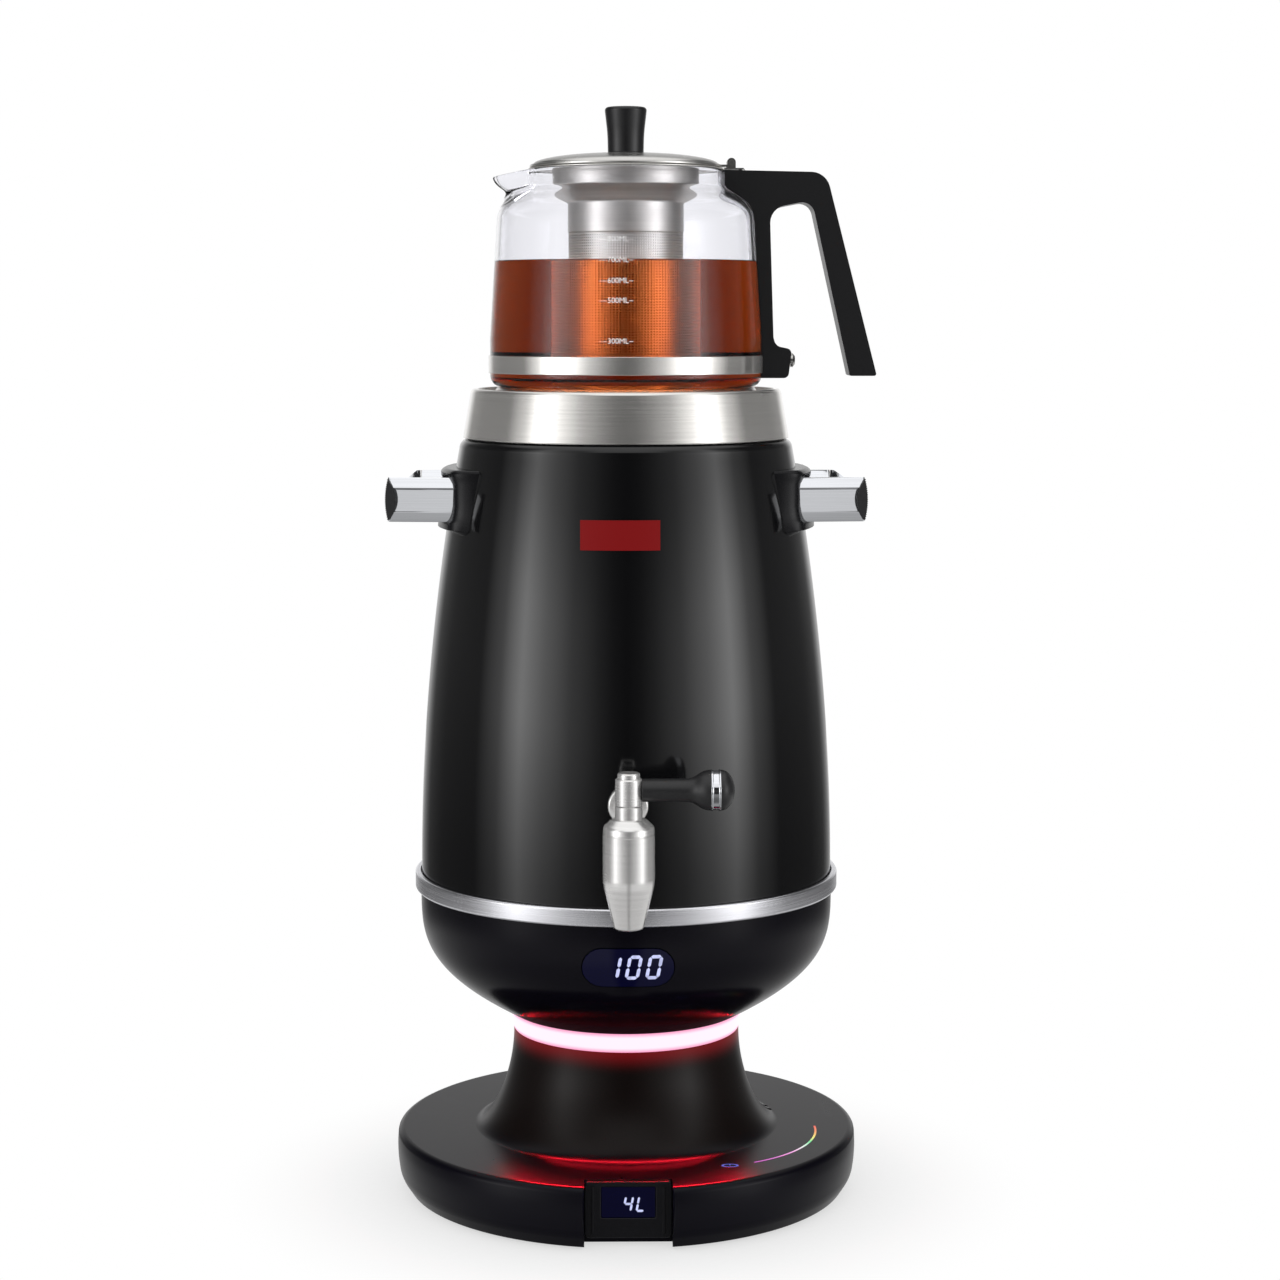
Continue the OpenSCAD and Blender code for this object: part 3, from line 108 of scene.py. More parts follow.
def arc(centre, r, start, end, count):
    """Points of a part of a circle."""
    return [(centre[0] + r * cos(radians(start + (end - start) * i / count)),
             centre[1] + r * sin(radians(start + (end - start) * i / count))) for i in range(count + 1)]


def corners(a, b, to_a, to_b, *rounding):
    """The four corners of a rectangle."""
    return [(a, b, *rounding), (to_a, b, *rounding), (to_a, to_b, *rounding), (a, to_b, *rounding)]


# ---- Mesh makers ----

def wire(bm, points, closed, plane="XZ"):
    """A chain of edges through (a, b) or (a, b, rounding) points, in the XZ or the XY plane."""
    place = (lambda a, b: (a * MM, 0, b * MM)) if plane == "XZ" else (lambda a, b: (a * MM, b * MM, 0))
    verts = [bm.verts.new(place(p[0], p[1])) for p in points]
    for a, b in zip(verts, verts[1:] + (verts[:1] if closed else [])):
        bm.edges.new((a, b))
    for vert, point in zip(verts, points):
        if len(point) > 2 and point[2] > 0:
            bmesh.ops.bevel(bm, geom=[vert], offset=point[2] * MM, offset_type="OFFSET", segments=CORNER_CUTS,
                            profile=0.5, affect="VERTICES", material=-1)
    return bm


def lathe(points, closed=True, steps=STEPS):
    """A profile spun about +Z. A profile that starts and ends on the axis isn't closed."""
    bm = wire(bmesh.new(), points, closed)
    bmesh.ops.spin(bm, geom=bm.verts[:] + bm.edges[:], cent=(0, 0, 0), axis=(0, 0, 1), angle=2 * pi,
                   steps=steps, use_merge=True)
    bmesh.ops.remove_doubles(bm, verts=bm.verts, dist=1e-6)
    bmesh.ops.recalc_face_normals(bm, faces=bm.faces)
    return bm


def slab(points, low, high, plane="XY"):
    """A flat outline with rounded corners, extruded between two heights (or depths along Y)."""
    bm = wire(bmesh.new(), points, True, plane)
    face = bmesh.ops.contextual_create(bm, geom=bm.edges[:])["faces"]
    up = Vector((0, 0, 1)) if plane == "XY" else Vector((0, 1, 0))
    bmesh.ops.translate(bm, verts=bm.verts, vec=up * low * MM)
    made = bmesh.ops.extrude_face_region(bm, geom=face, use_keep_orig=True)["geom"]
    bmesh.ops.translate(bm, verts=[g for g in made if isinstance(g, bmesh.types.BMVert)], vec=up * (high - low) * MM)
    bmesh.ops.recalc_face_normals(bm, faces=bm.faces)
    return bm


def moved(bm, *matrices):
    for matrix in matrices:
        bmesh.ops.transform(bm, matrix=matrix, verts=bm.verts)
    return bm


def shift(x=0.0, y=0.0, z=0.0):
    return Matrix.Translation((x * MM, y * MM, z * MM))


def turn(angle, axis):
    return Matrix.Rotation(radians(angle), 4, axis)


def soften(bm, width, segments, least, only=None):
    """Round the edges that are sharper than least degrees, or only some of them."""
    edges = [e for e in bm.edges if len(e.link_faces) == 2 and e.calc_face_angle() > radians(least)
             and (only is None or only(e))]
    bmesh.ops.bevel(bm, geom=edges, offset=width * MM, offset_type="OFFSET", segments=segments, profile=0.5,
                    affect="EDGES", clamp_overlap=True, material=-1)
    return bm


def cad_shape(node):
    """A merged copy of a CAD node's mesh."""
    bm = bmesh.new()
    bm.from_mesh(CAD[node].data)
    bmesh.ops.remove_doubles(bm, verts=bm.verts, dist=1e-6)
    bmesh.ops.dissolve_limit(bm, angle_limit=radians(1), verts=bm.verts, edges=bm.edges)
    return bm


def joined(*parts):
    """Several meshes as one."""
    whole = bmesh.new()
    for part in parts:
        mesh = bpy.data.meshes.new("part")
        part.to_mesh(mesh)
        part.free()
        whole.from_mesh(mesh)
        bpy.data.meshes.remove(mesh)
    return whole


def loose(bm, name):
    mesh = bpy.data.meshes.new(name)
    bm.to_mesh(mesh)
    bm.free()
    obj = bpy.data.objects.new(name, mesh)
    bpy.context.scene.collection.objects.link(obj)
    return obj


def carved(bm, tool, operation="DIFFERENCE"):
    """A shape with another taken away from it, added to it, or kept only inside it."""
    whole, other = loose(bm, "whole"), loose(tool, "tool")
    cut = whole.modifiers.new("Cut", "BOOLEAN")
    cut.operation, cut.solver, cut.object = operation, "EXACT", other
    bpy.context.view_layer.update()
    mesh = bpy.data.meshes.new_from_object(whole.evaluated_get(bpy.context.evaluated_depsgraph_get()))
    result = bmesh.new()
    result.from_mesh(mesh)
    for data in (whole.data, other.data, mesh):
        bpy.data.meshes.remove(data)
    return result


def piece(bm, name, finish, body, slot, *replaced, sharp=35.0):
    """The finished object of a mesh: smooth between its sharp edges, with its finish and body. Its slot is not used."""
    if not bm.faces:
        raise RuntimeError(f"{name} has no faces")
    obj = loose(bm, name)
    obj.data.polygons.foreach_set("use_smooth", [True] * len(obj.data.polygons))
    obj.data.set_sharp_from_angle(angle=radians(sharp))
    even = obj.modifiers.new("Even normals", "WEIGHTED_NORMAL")
    even.keep_sharp = True
    obj.data.materials.append(FINISHES[finish])
    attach(obj, body)
    if replaced:
        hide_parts(*replaced)
    return obj


# ---- Node groups: effects that several finishes share ----

def put(tree, kind, settings=None, **sockets):
    """A node of that kind, with its settings, and its inputs given a value or joined to a socket."""
    node = tree.nodes.new("ShaderNode" + kind)
    for key, value in (settings or {}).items():
        setattr(node, key, value)
    for key, value in sockets.items():
        socket = node.inputs[int(key[1:])] if key[1:].isdigit() else node.inputs[key.replace("_", " ")]
        if isinstance(value, bpy.types.NodeSocket):
            tree.links.new(value, socket)
        else:
            socket.default_value = value
    return node


def math(tree, operation, *values):
    """A sum on numbers, its operation named as Blender names it."""
    return put(tree, "Math", {"operation": operation}, **{f"i{i}": v for i, v in enumerate(values)}).outputs[0]


def span(tree, value, low, high, to_low=0.0, to_high=1.0):
    """A value carried from one range to another, held at its ends."""
    return put(tree, "MapRange", {"interpolation_type": "SMOOTHSTEP"}, Value=value, From_Min=low, From_Max=high,
               To_Min=to_low, To_Max=to_high).outputs[0]


def mixed(tree, factor, a, b, blend="MIX"):
    """Two colours mixed."""
    node = put(tree, "Mix", {"data_type": "RGBA", "blend_type": blend}, i0=factor)
    for socket, value in ((node.inputs[6], a), (node.inputs[7], b)):
        if isinstance(value, bpy.types.NodeSocket):
            tree.links.new(value, socket)
        else:
            socket.default_value = value
    return node.outputs[2]


def object_coordinates(tree):
    return put(tree, "TexCoord").outputs["Object"]


def parted(tree, vector):
    """The X, Y and Z of a vector."""
    return put(tree, "SeparateXYZ", Vector=vector).outputs


def light_path(tree):
    """The kinds of ray, and whether a ray comes straight from the camera, through glass or not."""
    path = put(tree, "LightPath").outputs
    return path, math(tree, "MAXIMUM", path["Is Camera Ray"], path["Is Transmission Ray"])


def azimuth_from_front(tree, part):
    """How far a direction or a place lies round from the front, -Y, in radians."""
    return math(tree, "ABSOLUTE", math(tree, "ARCTAN2", part[0], math(tree, "MULTIPLY", part[1], -1.0)))


def ramp(tree, value, stops):
    """A colour that follows a list of (position, colour) stops."""
    node = put(tree, "ValToRGB", Fac=value)
    elements = node.color_ramp.elements
    while len(elements) < len(stops):
        elements.new(0.5)
    for element, (at, colour) in zip(elements, stops):
        element.position, element.color = at, colour
    return node.outputs[0]


def group(name, inputs, outputs):
    tree = bpy.data.node_groups.new(name, "ShaderNodeTree")
    for label, kind, default in inputs:
        socket = tree.interface.new_socket(label, in_out="INPUT", socket_type="NodeSocket" + kind)
        if default is not None:
            socket.default_value = default
    for label, kind in outputs:
        tree.interface.new_socket(label, in_out="OUTPUT", socket_type="NodeSocket" + kind)
    return tree, tree.nodes.new("NodeGroupInput").outputs, tree.nodes.new("NodeGroupOutput").inputs


def moulded_grain():
    """The fine spark-eroded grain of moulded plastic and rubber."""
    tree, given, out = group("Moulded grain", [("Coordinates", "Vector", None), ("Grain per metre", "Float", 1600.0)],
                             [("Height", "Float"), ("Mask", "Float")])
    fine = put(tree, "TexNoise", Vector=given[0], Scale=given[1], Detail=2.0, Roughness=0.6)
    pits = put(tree, "TexVoronoi", {"feature": "SMOOTH_F1"}, Vector=given[0], Scale=given[1])
    height = math(tree, "ADD", math(tree, "MULTIPLY", fine.outputs[0], 0.5),
                  math(tree, "MULTIPLY", pits.outputs["Distance"], 0.5))
    tree.links.new(height, out[0])
    tree.links.new(span(tree, fine.outputs[0], 0.35, 0.65), out[1])
    return tree


def brushed_lines():
    """Lines left by brushing or turning round the upright axis: they run level round the piece."""
    tree, given, out = group("Brushed lines", [("Coordinates", "Vector", None), ("Lines per metre", "Float", 2600.0),
                                               ("Along", "Float", 18.0)], [("Height", "Float"), ("Mask", "Float")])
    part = parted(tree, given[0])
    flat = [math(tree, "MULTIPLY", part[i], given[2]) for i in (0, 1)]
    lines = put(tree, "CombineXYZ", i0=flat[0], i1=flat[1], i2=math(tree, "MULTIPLY", part[2], given[1]))
    noise = put(tree, "TexNoise", Vector=lines.outputs[0], Scale=1.0, Detail=3.0, Roughness=0.65)
    tree.links.new(noise.outputs[0], out[0])
    tree.links.new(span(tree, noise.outputs[0], 0.3, 0.7), out[1])
    return tree


def handling_marks():
    """Faint smudges and wipe marks that change the gloss a little."""
    tree, given, out = group("Handling marks", [("Coordinates", "Vector", None), ("Marks per metre", "Float", 28.0),
                                                ("Amount", "Float", 0.05)], [("Roughness", "Float"), ("Mask", "Float")])
    broad = put(tree, "TexNoise", Vector=given[0], Scale=given[1], Detail=4.0, Roughness=0.55, Distortion=0.6)
    streak = put(tree, "TexNoise", Vector=put(tree, "Mapping", Vector=given[0], Scale=(9.0, 9.0, 1.6)).outputs[0],
                 Scale=given[1], Detail=3.0)
    mask = math(tree, "MULTIPLY", span(tree, broad.outputs[0], 0.46, 0.7), span(tree, streak.outputs[0], 0.35, 0.75))
    tree.links.new(math(tree, "MULTIPLY", mask, given[2]), out[0])
    tree.links.new(mask, out[1])
    return tree


def settled_dust():
    """A trace of dust where a surface looks up."""
    tree, given, out = group("Settled dust", [("Coordinates", "Vector", None), ("Amount", "Float", 0.04)],
                             [("Mask", "Float")])
    up = parted(tree, put(tree, "NewGeometry").outputs["Normal"])[2]
    specks = put(tree, "TexNoise", Vector=given[0], Scale=900.0, Detail=2.0)
    mask = math(tree, "MULTIPLY", span(tree, up, 0.7, 1.0), span(tree, specks.outputs[0], 0.45, 0.75))
    tree.links.new(math(tree, "MULTIPLY", mask, given[1]), out[0])
    return tree


def effect(tree, name, coordinates, **values):
    """One of the shared groups placed in a material, with its own values."""
    node = tree.nodes.new("ShaderNodeGroup")
    node.node_tree = EFFECTS[name]
    tree.links.new(coordinates, node.inputs[0])
    for key, value in values.items():
        node.inputs[key.replace("_", " ")].default_value = value
    return node.outputs


# ---- Materials ----

def rgb(colour, share=1.0):
    """A colour, or a share of it, with its alpha."""
    return (*(c * share for c in colour[:3]), 1.0)


def grey(level):
    return (level, level, level, 1.0)


def surface(name, **values):
    """A material with its Principled shader's plain values set on the shader itself."""
    material = bpy.data.materials.new(name)
    material.use_nodes = True
    shader = material.node_tree.nodes["Principled BSDF"]
    for key, value in values.items():
        shader.inputs[key.replace("_", " ")].default_value = value
    return material, material.node_tree, shader


def bump(tree, shader, height, strength, distance, also=()):
    node = put(tree, "Bump", Strength=strength, Distance=distance, Height=height)
    for socket in ("Normal",) + tuple(also):
        tree.links.new(node.outputs[0], shader.inputs[socket])


def gloss_enamel(name, colour, gloss=0.1, peel=0.02, coat=1.5):
    """Deep black stove enamel: a clear top coat with a trace of orange peel."""
    material, tree, shader = surface(name, Base_Color=rgb(colour), Coat_Weight=1.0, Coat_IOR=coat, IOR=1.45,
                                     Specular_IOR_Level=0.0, Coat_Roughness=gloss)
    at = object_coordinates(tree)
    marks = effect(tree, "Handling marks", at, Marks_per_metre=16.0, Amount=0.08)
    tree.links.new(math(tree, "ADD", marks["Roughness"], 0.3), shader.inputs["Roughness"])
    dust = effect(tree, "Settled dust", at, Amount=0.004)
    tree.links.new(mixed(tree, dust["Mask"], rgb(colour), rgb((0.35, 0.34, 0.32))), shader.inputs["Base Color"])
    waves = put(tree, "TexNoise", Vector=at, Scale=140.0, Detail=1.0)
    bump(tree, shader, waves.outputs[0], peel, 0.0002, ("Coat Normal",))
    return material


def moulded_plastic(name, colour, roughness, grain, depth, specular=0.5, painted_glow=None, disc=None):
    """Moulded plastic or rubber with its fine grain and faint rub marks.

    The argument before disc is the colour of the ring's light, painted as a faint glow on the pedestal just under the
    ring; disc is the colour below the pedestal."""
    material, tree, shader = surface(name, Specular_IOR_Level=specular)
    at = object_coordinates(tree)
    grains = effect(tree, "Moulded grain", at, Grain_per_metre=grain)
    marks = effect(tree, "Handling marks", at, Marks_per_metre=34.0, Amount=0.018)
    dust = effect(tree, "Settled dust", at, Amount=0.006)
    paler = tuple(c * 1.35 + 0.0004 for c in colour[:3])
    base = mixed(tree, grains["Mask"], rgb(colour), rgb(paler))
    height = parted(tree, at)[2]
    if disc:
        base = mixed(tree, span(tree, height, *PEDESTAL_START), rgb(disc), base)
    tree.links.new(mixed(tree, dust["Mask"], base, rgb((0.3, 0.29, 0.27))), shader.inputs["Base Color"])
    tree.links.new(math(tree, "SUBTRACT", roughness, marks["Roughness"]), shader.inputs["Roughness"])
    bump(tree, shader, grains["Height"], depth, 0.00006)
    # painted glow: the ring's red light painted as faint emission on the pedestal just under the ring
    if painted_glow:
        painted_glow_mask = math(tree, "POWER", span(tree, height, PAINTED_GLOW_START, NECK_TOP * MM), 2.5)
        tree.links.new(mixed(tree, painted_glow_mask, DARK, rgb(painted_glow)), shader.inputs["Emission Color"])
        shader.inputs["Emission Strength"].default_value = 0.14
    return material


def metal(name, colour, roughness, brush=0.0, lines=2600.0, mirror=1.0):
    """Steel or chrome, from mirror bright to brushed."""
    material, tree, shader = surface(name, Metallic=mirror)
    at = object_coordinates(tree)
    smudge = effect(tree, "Handling marks", at, Marks_per_metre=45.0, Amount=0.05)
    stroke = effect(tree, "Brushed lines", at, Lines_per_metre=lines, Along=18.0)
    tree.links.new(mixed(tree, stroke["Mask"], rgb(colour, 0.93), rgb(colour)), shader.inputs["Base Color"])
    uneven = math(tree, "MULTIPLY", stroke["Mask"], 0.06 if brush else 0.012)
    tree.links.new(math(tree, "ADD", math(tree, "ADD", roughness, smudge["Roughness"]), uneven),
                   shader.inputs["Roughness"])
    bump(tree, shader, stroke["Height"], brush if brush else 0.004, 0.00005)
    return material


def clear_glass(name):
    """Borosilicate glass with a faint ripple from drawing."""
    material, tree, shader = surface(name, Base_Color=(0.93, 0.93, 0.955, 1), Transmission_Weight=1.0, IOR=1.22)
    at = object_coordinates(tree)
    marks = effect(tree, "Handling marks", at, Marks_per_metre=30.0, Amount=0.02)
    tree.links.new(marks["Roughness"], shader.inputs["Roughness"])
    ripple = put(tree, "TexNoise", Vector=put(tree, "Mapping", Vector=at, Scale=(1, 1, 0.35)).outputs[0],
                 Scale=30.0, Detail=1.0)
    bump(tree, shader, ripple.outputs[0], 0.02, 0.0004)
    return material


def brewed_tea(name, colour, density):
    """Black tea: clear, and deeper in colour the further light goes through it."""
    material, tree, shader = surface(name, Base_Color=(1.0, 1.0, 1.0, 1), Transmission_Weight=1.0, IOR=1.3)
    at = object_coordinates(tree)
    settling = put(tree, "TexNoise", Vector=at, Scale=60.0, Detail=2.0)
    tree.links.new(span(tree, settling.outputs[0], 0.3, 0.8, 0.0, 0.03), shader.inputs["Roughness"])
    absorb = put(tree, "VolumeAbsorption", Color=rgb(colour), Density=density)
    tree.links.new(absorb.outputs[0], tree.nodes["Material Output"].inputs["Volume"])
    return material


def lit_figures(name, colour, strength):
    """Lit display segments, a little uneven in brightness."""
    material, tree, shader = surface(name, Base_Color=(0.02, 0.02, 0.03, 1), Roughness=0.3,
                                     Emission_Strength=strength)
    at = object_coordinates(tree)
    cells = put(tree, "TexNoise", Vector=at, Scale=420.0, Detail=1.0)
    tree.links.new(mixed(tree, span(tree, cells.outputs[0], 0.3, 0.6), rgb(colour, 0.75), rgb(colour)),
                   shader.inputs["Emission Color"])
    return material


def lit_ring(name, seen, glow, glow_strength):
    """The frosted light ring: pale where it is looked at, and red in the light that it throws.

    Only its lower edge throws light, so the bowl above it stays dark. In polished pieces further off than
    RING_REACH, all of it shows, and more strongly."""
    material, tree, shader = surface(name, Base_Color=(0.1, 0.02, 0.03, 1), Roughness=0.45, Emission_Strength=1.0)
    at = object_coordinates(tree)
    height = parted(tree, at)[2]
    frost = effect(tree, "Moulded grain", at, Grain_per_metre=900.0)
    rim = math(tree, "ABSOLUTE", math(tree, "SUBTRACT", height, (NECK_TOP + BOWL_Z) / 2 * MM))
    edge = span(tree, rim, 0.0022, 0.0046)
    pale = mixed(tree, edge, rgb(seen), (seen[0], seen[1] * 0.42, seen[2] * 0.62, 1))
    pale = mixed(tree, math(tree, "MULTIPLY", frost["Mask"], 0.08), pale, (1, 0.9, 0.94, 1))
    lower = span(tree, height, *RING_LOWER_EDGE, 1.0, 0.0)
    thrown = mixed(tree, lower, DARK, rgb(glow, glow_strength))
    path, straight = light_path(tree)
    mirrored = mixed(tree, span(tree, path["Ray Length"], *RING_REACH), DARK, rgb(glow, MIRRORED_GLOW * glow_strength))
    thrown = mixed(tree, path["Is Glossy Ray"], thrown, mirrored)
    tree.links.new(mixed(tree, straight, thrown, pale), shader.inputs["Emission Color"])
    return material


def touch_light(name):
    """The touch strip, lit in colours that run from magenta through white, green and yellow to red."""
    material, tree, shader = surface(name, Base_Color=(0.05, 0.05, 0.05, 1), Roughness=0.3, Emission_Strength=1.0)
    part = parted(tree, object_coordinates(tree))
    centre = Vector(STRIP_CENTRE) * MM
    angle = math(tree, "ARCTAN2", math(tree, "SUBTRACT", part[1], centre.y), math(tree, "SUBTRACT", part[0], centre.x))
    along = span(tree, angle, radians(-61), radians(3))
    colours = ((0.0, (0.55, 0.05, 0.5)), (0.3, (0.9, 0.35, 0.75)), (0.5, (0.75, 0.85, 0.8)), (0.68, (0.12, 0.75, 0.3)),
               (0.82, (0.85, 0.75, 0.12)), (1.0, (0.8, 0.08, 0.03)))
    tree.links.new(ramp(tree, along, [(at, rgb(c)) for at, c in colours]), shader.inputs["Emission Color"])
    return material


def key_lens(name, mark):
    """The power key: a smoked oval with a small lit ring and bar."""
    material, tree, shader = surface(name, Base_Color=(0.004, 0.004, 0.008, 1), Roughness=0.12, Emission_Strength=1.0)
    at = object_coordinates(tree)
    middle = (KEY_AT[0] * MM, KEY_AT[1] * MM, 0)
    part = parted(tree, put(tree, "VectorMath", {"operation": "SUBTRACT"}, i0=at, i1=middle).outputs[0])
    radius = math(tree, "SQRT", math(tree, "ADD", math(tree, "POWER", math(tree, "MULTIPLY", part[0], 0.6), 2.0),
                                     math(tree, "POWER", part[1], 2.0)))
    ring = span(tree, math(tree, "ABSOLUTE", math(tree, "SUBTRACT", radius, 0.00205)), 0.0002, 0.00042, 1.0, 0.0)
    bar = math(tree, "MULTIPLY", span(tree, math(tree, "ABSOLUTE", part[0]), 0.00015, 0.0004, 1.0, 0.0),
               span(tree, part[1], -0.0002, 0.0001))
    bar = math(tree, "MULTIPLY", bar, span(tree, part[1], 0.0019, 0.0022, 1.0, 0.0))
    tree.links.new(mixed(tree, math(tree, "MAXIMUM", ring, bar), DARK, rgb(mark)),
                   shader.inputs["Emission Color"])
    return material


def make_finishes(looks):
    """Every material of the object, by a plain name.

    Plastics have their colour, roughness, grain per metre, depth of grain and specular level, enamels their colour,
    roughness, waviness and the coat's index, metals their colour, roughness, depth of brushing and lines per metre."""
    for maker in (moulded_grain, brushed_lines, handling_marks, settled_dust):
        tree = maker()
        EFFECTS[tree.name] = tree
    plastic, steel = looks.plastic_colour, looks.steel_colour
    FINISHES.update({
        "shell_black": gloss_enamel("Body enamel", looks.enamel_colour),
        "gloss_black": moulded_plastic("Bowl gloss plastic", (0.0018, 0.0014, 0.0036), 0.2, 1200.0, 0.03, 0.14),
        # the housing plastic takes the ring's glow colour for its painted glow under the ring
        "satin_black": moulded_plastic("Housing plastic", plastic, 0.29, 1700.0, 0.03, 0.15, looks.glow_colour,
                                       (0.0009, 0.0005, 0.0038)),
        "panel_black": moulded_plastic("Panel plastic", (0.004, 0.004, 0.0055), 0.26, 1700.0, 0.04, 0.25),
        "boss_black": moulded_plastic("Boss plastic", (0.005, 0.005, 0.006), 0.24, 1500.0, 0.06, 0.2),
        # the windows' dark blue is partly a smoked tint and partly a painted glow of the lit figures behind them
        "smoked_window": gloss_enamel("Smoked window with painted blue glow", (0.001, 0.001, 0.02), 0.06, 0.004, 1.28),
        "lit_figures": lit_figures("Lit figures", looks.figure_colour, 1.0),
        "lit_pink": lit_ring("Light ring", looks.ring_colour, looks.glow_colour, looks.glow_strength),
        "touch_light": touch_light("Touch strip light"),
        "power_key": key_lens("Power key lens", (0.16, 0.17, 0.75)),
        "polished_steel": metal("Polished steel", steel, 0.11, 0.012, 2200.0, mirror=0.85),
        "tank_steel": metal("Tank steel", (0.62, 0.61, 0.59), 0.3, 0.08, 1500.0),
        "lid_steel": metal("Lid steel", (0.66, 0.65, 0.63), 0.2, 0.05, 1800.0),
        "mesh_steel": metal("Infuser steel", (0.82, 0.8, 0.77), 0.34, 0.02, 1800.0, mirror=0.85),
        "chrome": metal("Chrome", (0.86, 0.875, 0.91), 0.07),
        "tap_steel": metal("Tap steel", (0.88, 0.87, 0.86), 0.2, 0.012, 2600.0, mirror=0.75),
        "belt_satin": metal("Belt satin metal", (0.84, 0.84, 0.88), 0.22, 0.03, 3000.0),
        "screw_steel": metal("Screw steel", (0.6, 0.59, 0.57), 0.25),
        "rubber_black": moulded_plastic("Black rubber", (0.014, 0.014, 0.015), 0.58, 1100.0, 0.25, 0.4),
        "silicone": moulded_plastic("Silicone", (0.62, 0.6, 0.56), 0.5, 900.0, 0.05, 0.4),
        "board_green": moulded_plastic("Circuit board", (0.01, 0.09, 0.04), 0.35, 2200.0, 0.1),
        "lever_black": moulded_plastic("Lever plastic", (0.01, 0.01, 0.011), 0.4, 1500.0, 0.08),
        "handle_black": moulded_plastic("Handle plastic", (0.007, 0.007, 0.008), 0.33, 1500.0, 0.06),
        "badge_red": gloss_enamel("Red plate enamel", looks.badge_colour, 0.3, 0.01, 1.3),
        "pot_glass": clear_glass("Pot glass"),
        "tea": brewed_tea("Brewed tea", looks.tea_colour, looks.tea_density),
        "mark_white": moulded_plastic("Mark enamel", (0.85, 0.85, 0.85), 0.5, 1500.0, 0.02),
    })


# ---- Sizes and colours that a user would change ----

class SamovarSizes(bpy.types.PropertyGroup):
    """Sizes of the dressed pieces."""
    tea_top: bpy.props.FloatProperty(
        name="Tea level", description="Height of the tea's surface above the floor", default=0.440,
        min=0.400, max=0.452, subtype="DISTANCE", unit="LENGTH")
    hole_pitch: bpy.props.FloatProperty(
        name="Hole pitch", description="Distance between the infuser's holes", default=0.00125,
        min=0.0011, max=0.003, subtype="DISTANCE", unit="LENGTH")
    hole_share: bpy.props.FloatProperty(
        name="Hole size", description="Steel left on each side of a hole, as a share of the pitch", default=0.26,
        min=0.1, max=0.4, subtype="FACTOR")
    edge_round: bpy.props.FloatProperty(
        name="Edge rounding", description="Rounding of the teapot handle's edges", default=0.0018,
        min=0.0005, max=0.003, subtype="DISTANCE", unit="LENGTH")
    loop_round: bpy.props.FloatProperty(
        name="Handle rounding", description="Rounding of the lifting handles' long outer edges", default=0.0002,
        min=0.0001, max=0.0003, subtype="DISTANCE", unit="LENGTH")
    mark_height: bpy.props.FloatProperty(
        name="Mark height", description="Height of the figures on the teapot's glass", default=0.0030,
        min=0.001, max=0.005, subtype="DISTANCE", unit="LENGTH")


def colour_property(name, description, default):
    return bpy.props.FloatVectorProperty(name=name, description=description, default=default, size=3,
                                         min=0.0, max=1.0, subtype="COLOR")


class SamovarLooks(bpy.types.PropertyGroup):
    """Colours and strengths of the finishes."""
    enamel_colour: colour_property("Body enamel", "Colour of the body shell's enamel", (0.004, 0.004, 0.0045))
    plastic_colour: colour_property("Housing plastic", "Colour of the base and pedestal", (0.005, 0.0027, 0.0023))
    steel_colour: colour_property("Steel", "Colour of the collar and the tank lid", (0.84, 0.82, 0.79))
    badge_colour: colour_property("Name plate", "Colour of the bare name plate", (0.23, 0.002, 0.003))
    figure_colour: colour_property("Lit figures", "Colour of the lit figures", (0.62, 0.66, 1.0))
    ring_colour: colour_property("Light ring", "Colour of the light ring itself", (1.0, 0.88, 0.98))
    # this colour is also painted as a faint glow on the pedestal under the ring
    glow_colour: colour_property("Ring's glow", "Colour of the light that the ring throws", (1.0, 0.012, 0.03))
    glow_strength: bpy.props.FloatProperty(
        name="Glow strength", description="Strength of the light that the ring throws", default=18.0, min=0.0, max=60.0)
    tea_colour: colour_property("Tea", "Colour that the tea lets through", (0.735, 0.43, 0.11))
    tea_density: bpy.props.FloatProperty(
        name="Tea strength", description="How fast the tea darkens with depth", default=70.0, min=5.0, max=200.0)


class SamovarStudio(bpy.types.PropertyGroup):
    """Camera and surroundings."""
    lens: bpy.props.FloatProperty(
        name="Lens", description="Focal length of the camera", default=78.4, min=35.0, max=150.0)
    camera_place: bpy.props.FloatVectorProperty(
        name="Camera place", description="Where the camera stands", default=(-0.0117, -1.310, 0.4145), size=3,
        subtype="TRANSLATION", unit="LENGTH")
    camera_turn: bpy.props.FloatVectorProperty(
        name="Camera turn", description="Which way the camera looks", default=(radians(83.4), 0.0, radians(-0.8)),
        size=3, subtype="EULER", unit="ROTATION")
    surroundings: bpy.props.FloatProperty(
        name="Surroundings", description="Level of the studio's light", default=1.0, min=0.2, max=2.0)


def sizes():
    return bpy.context.scene.samovar_sizes


# ---- Pieces ----

class SAMOVAR_OT_finishes(bpy.types.Operator):
    """Make the finishes of all the pieces"""
    bl_idname = "samovar.finishes"
    bl_label = "Finishes"

    def execute(self, context):
        make_finishes(context.scene.samovar_looks)
        return {"FINISHED"}


def front_cutter(side, back, edge):
    """The notch's shape from above: a box whose mouth turns outwards round the housing's upright edges."""
    front = -(BASE_R ** 2 - side ** 2) ** 0.5
    right = [(side, back), (side, front, edge), (side + 1.5 * edge, front), (side + 1.5 * edge, -130)]
    if not edge:
        right = [(side, back), (side, -130)]
    return slab(right + [(-p[0], *p[1:]) for p in reversed(right)], -20, 60)


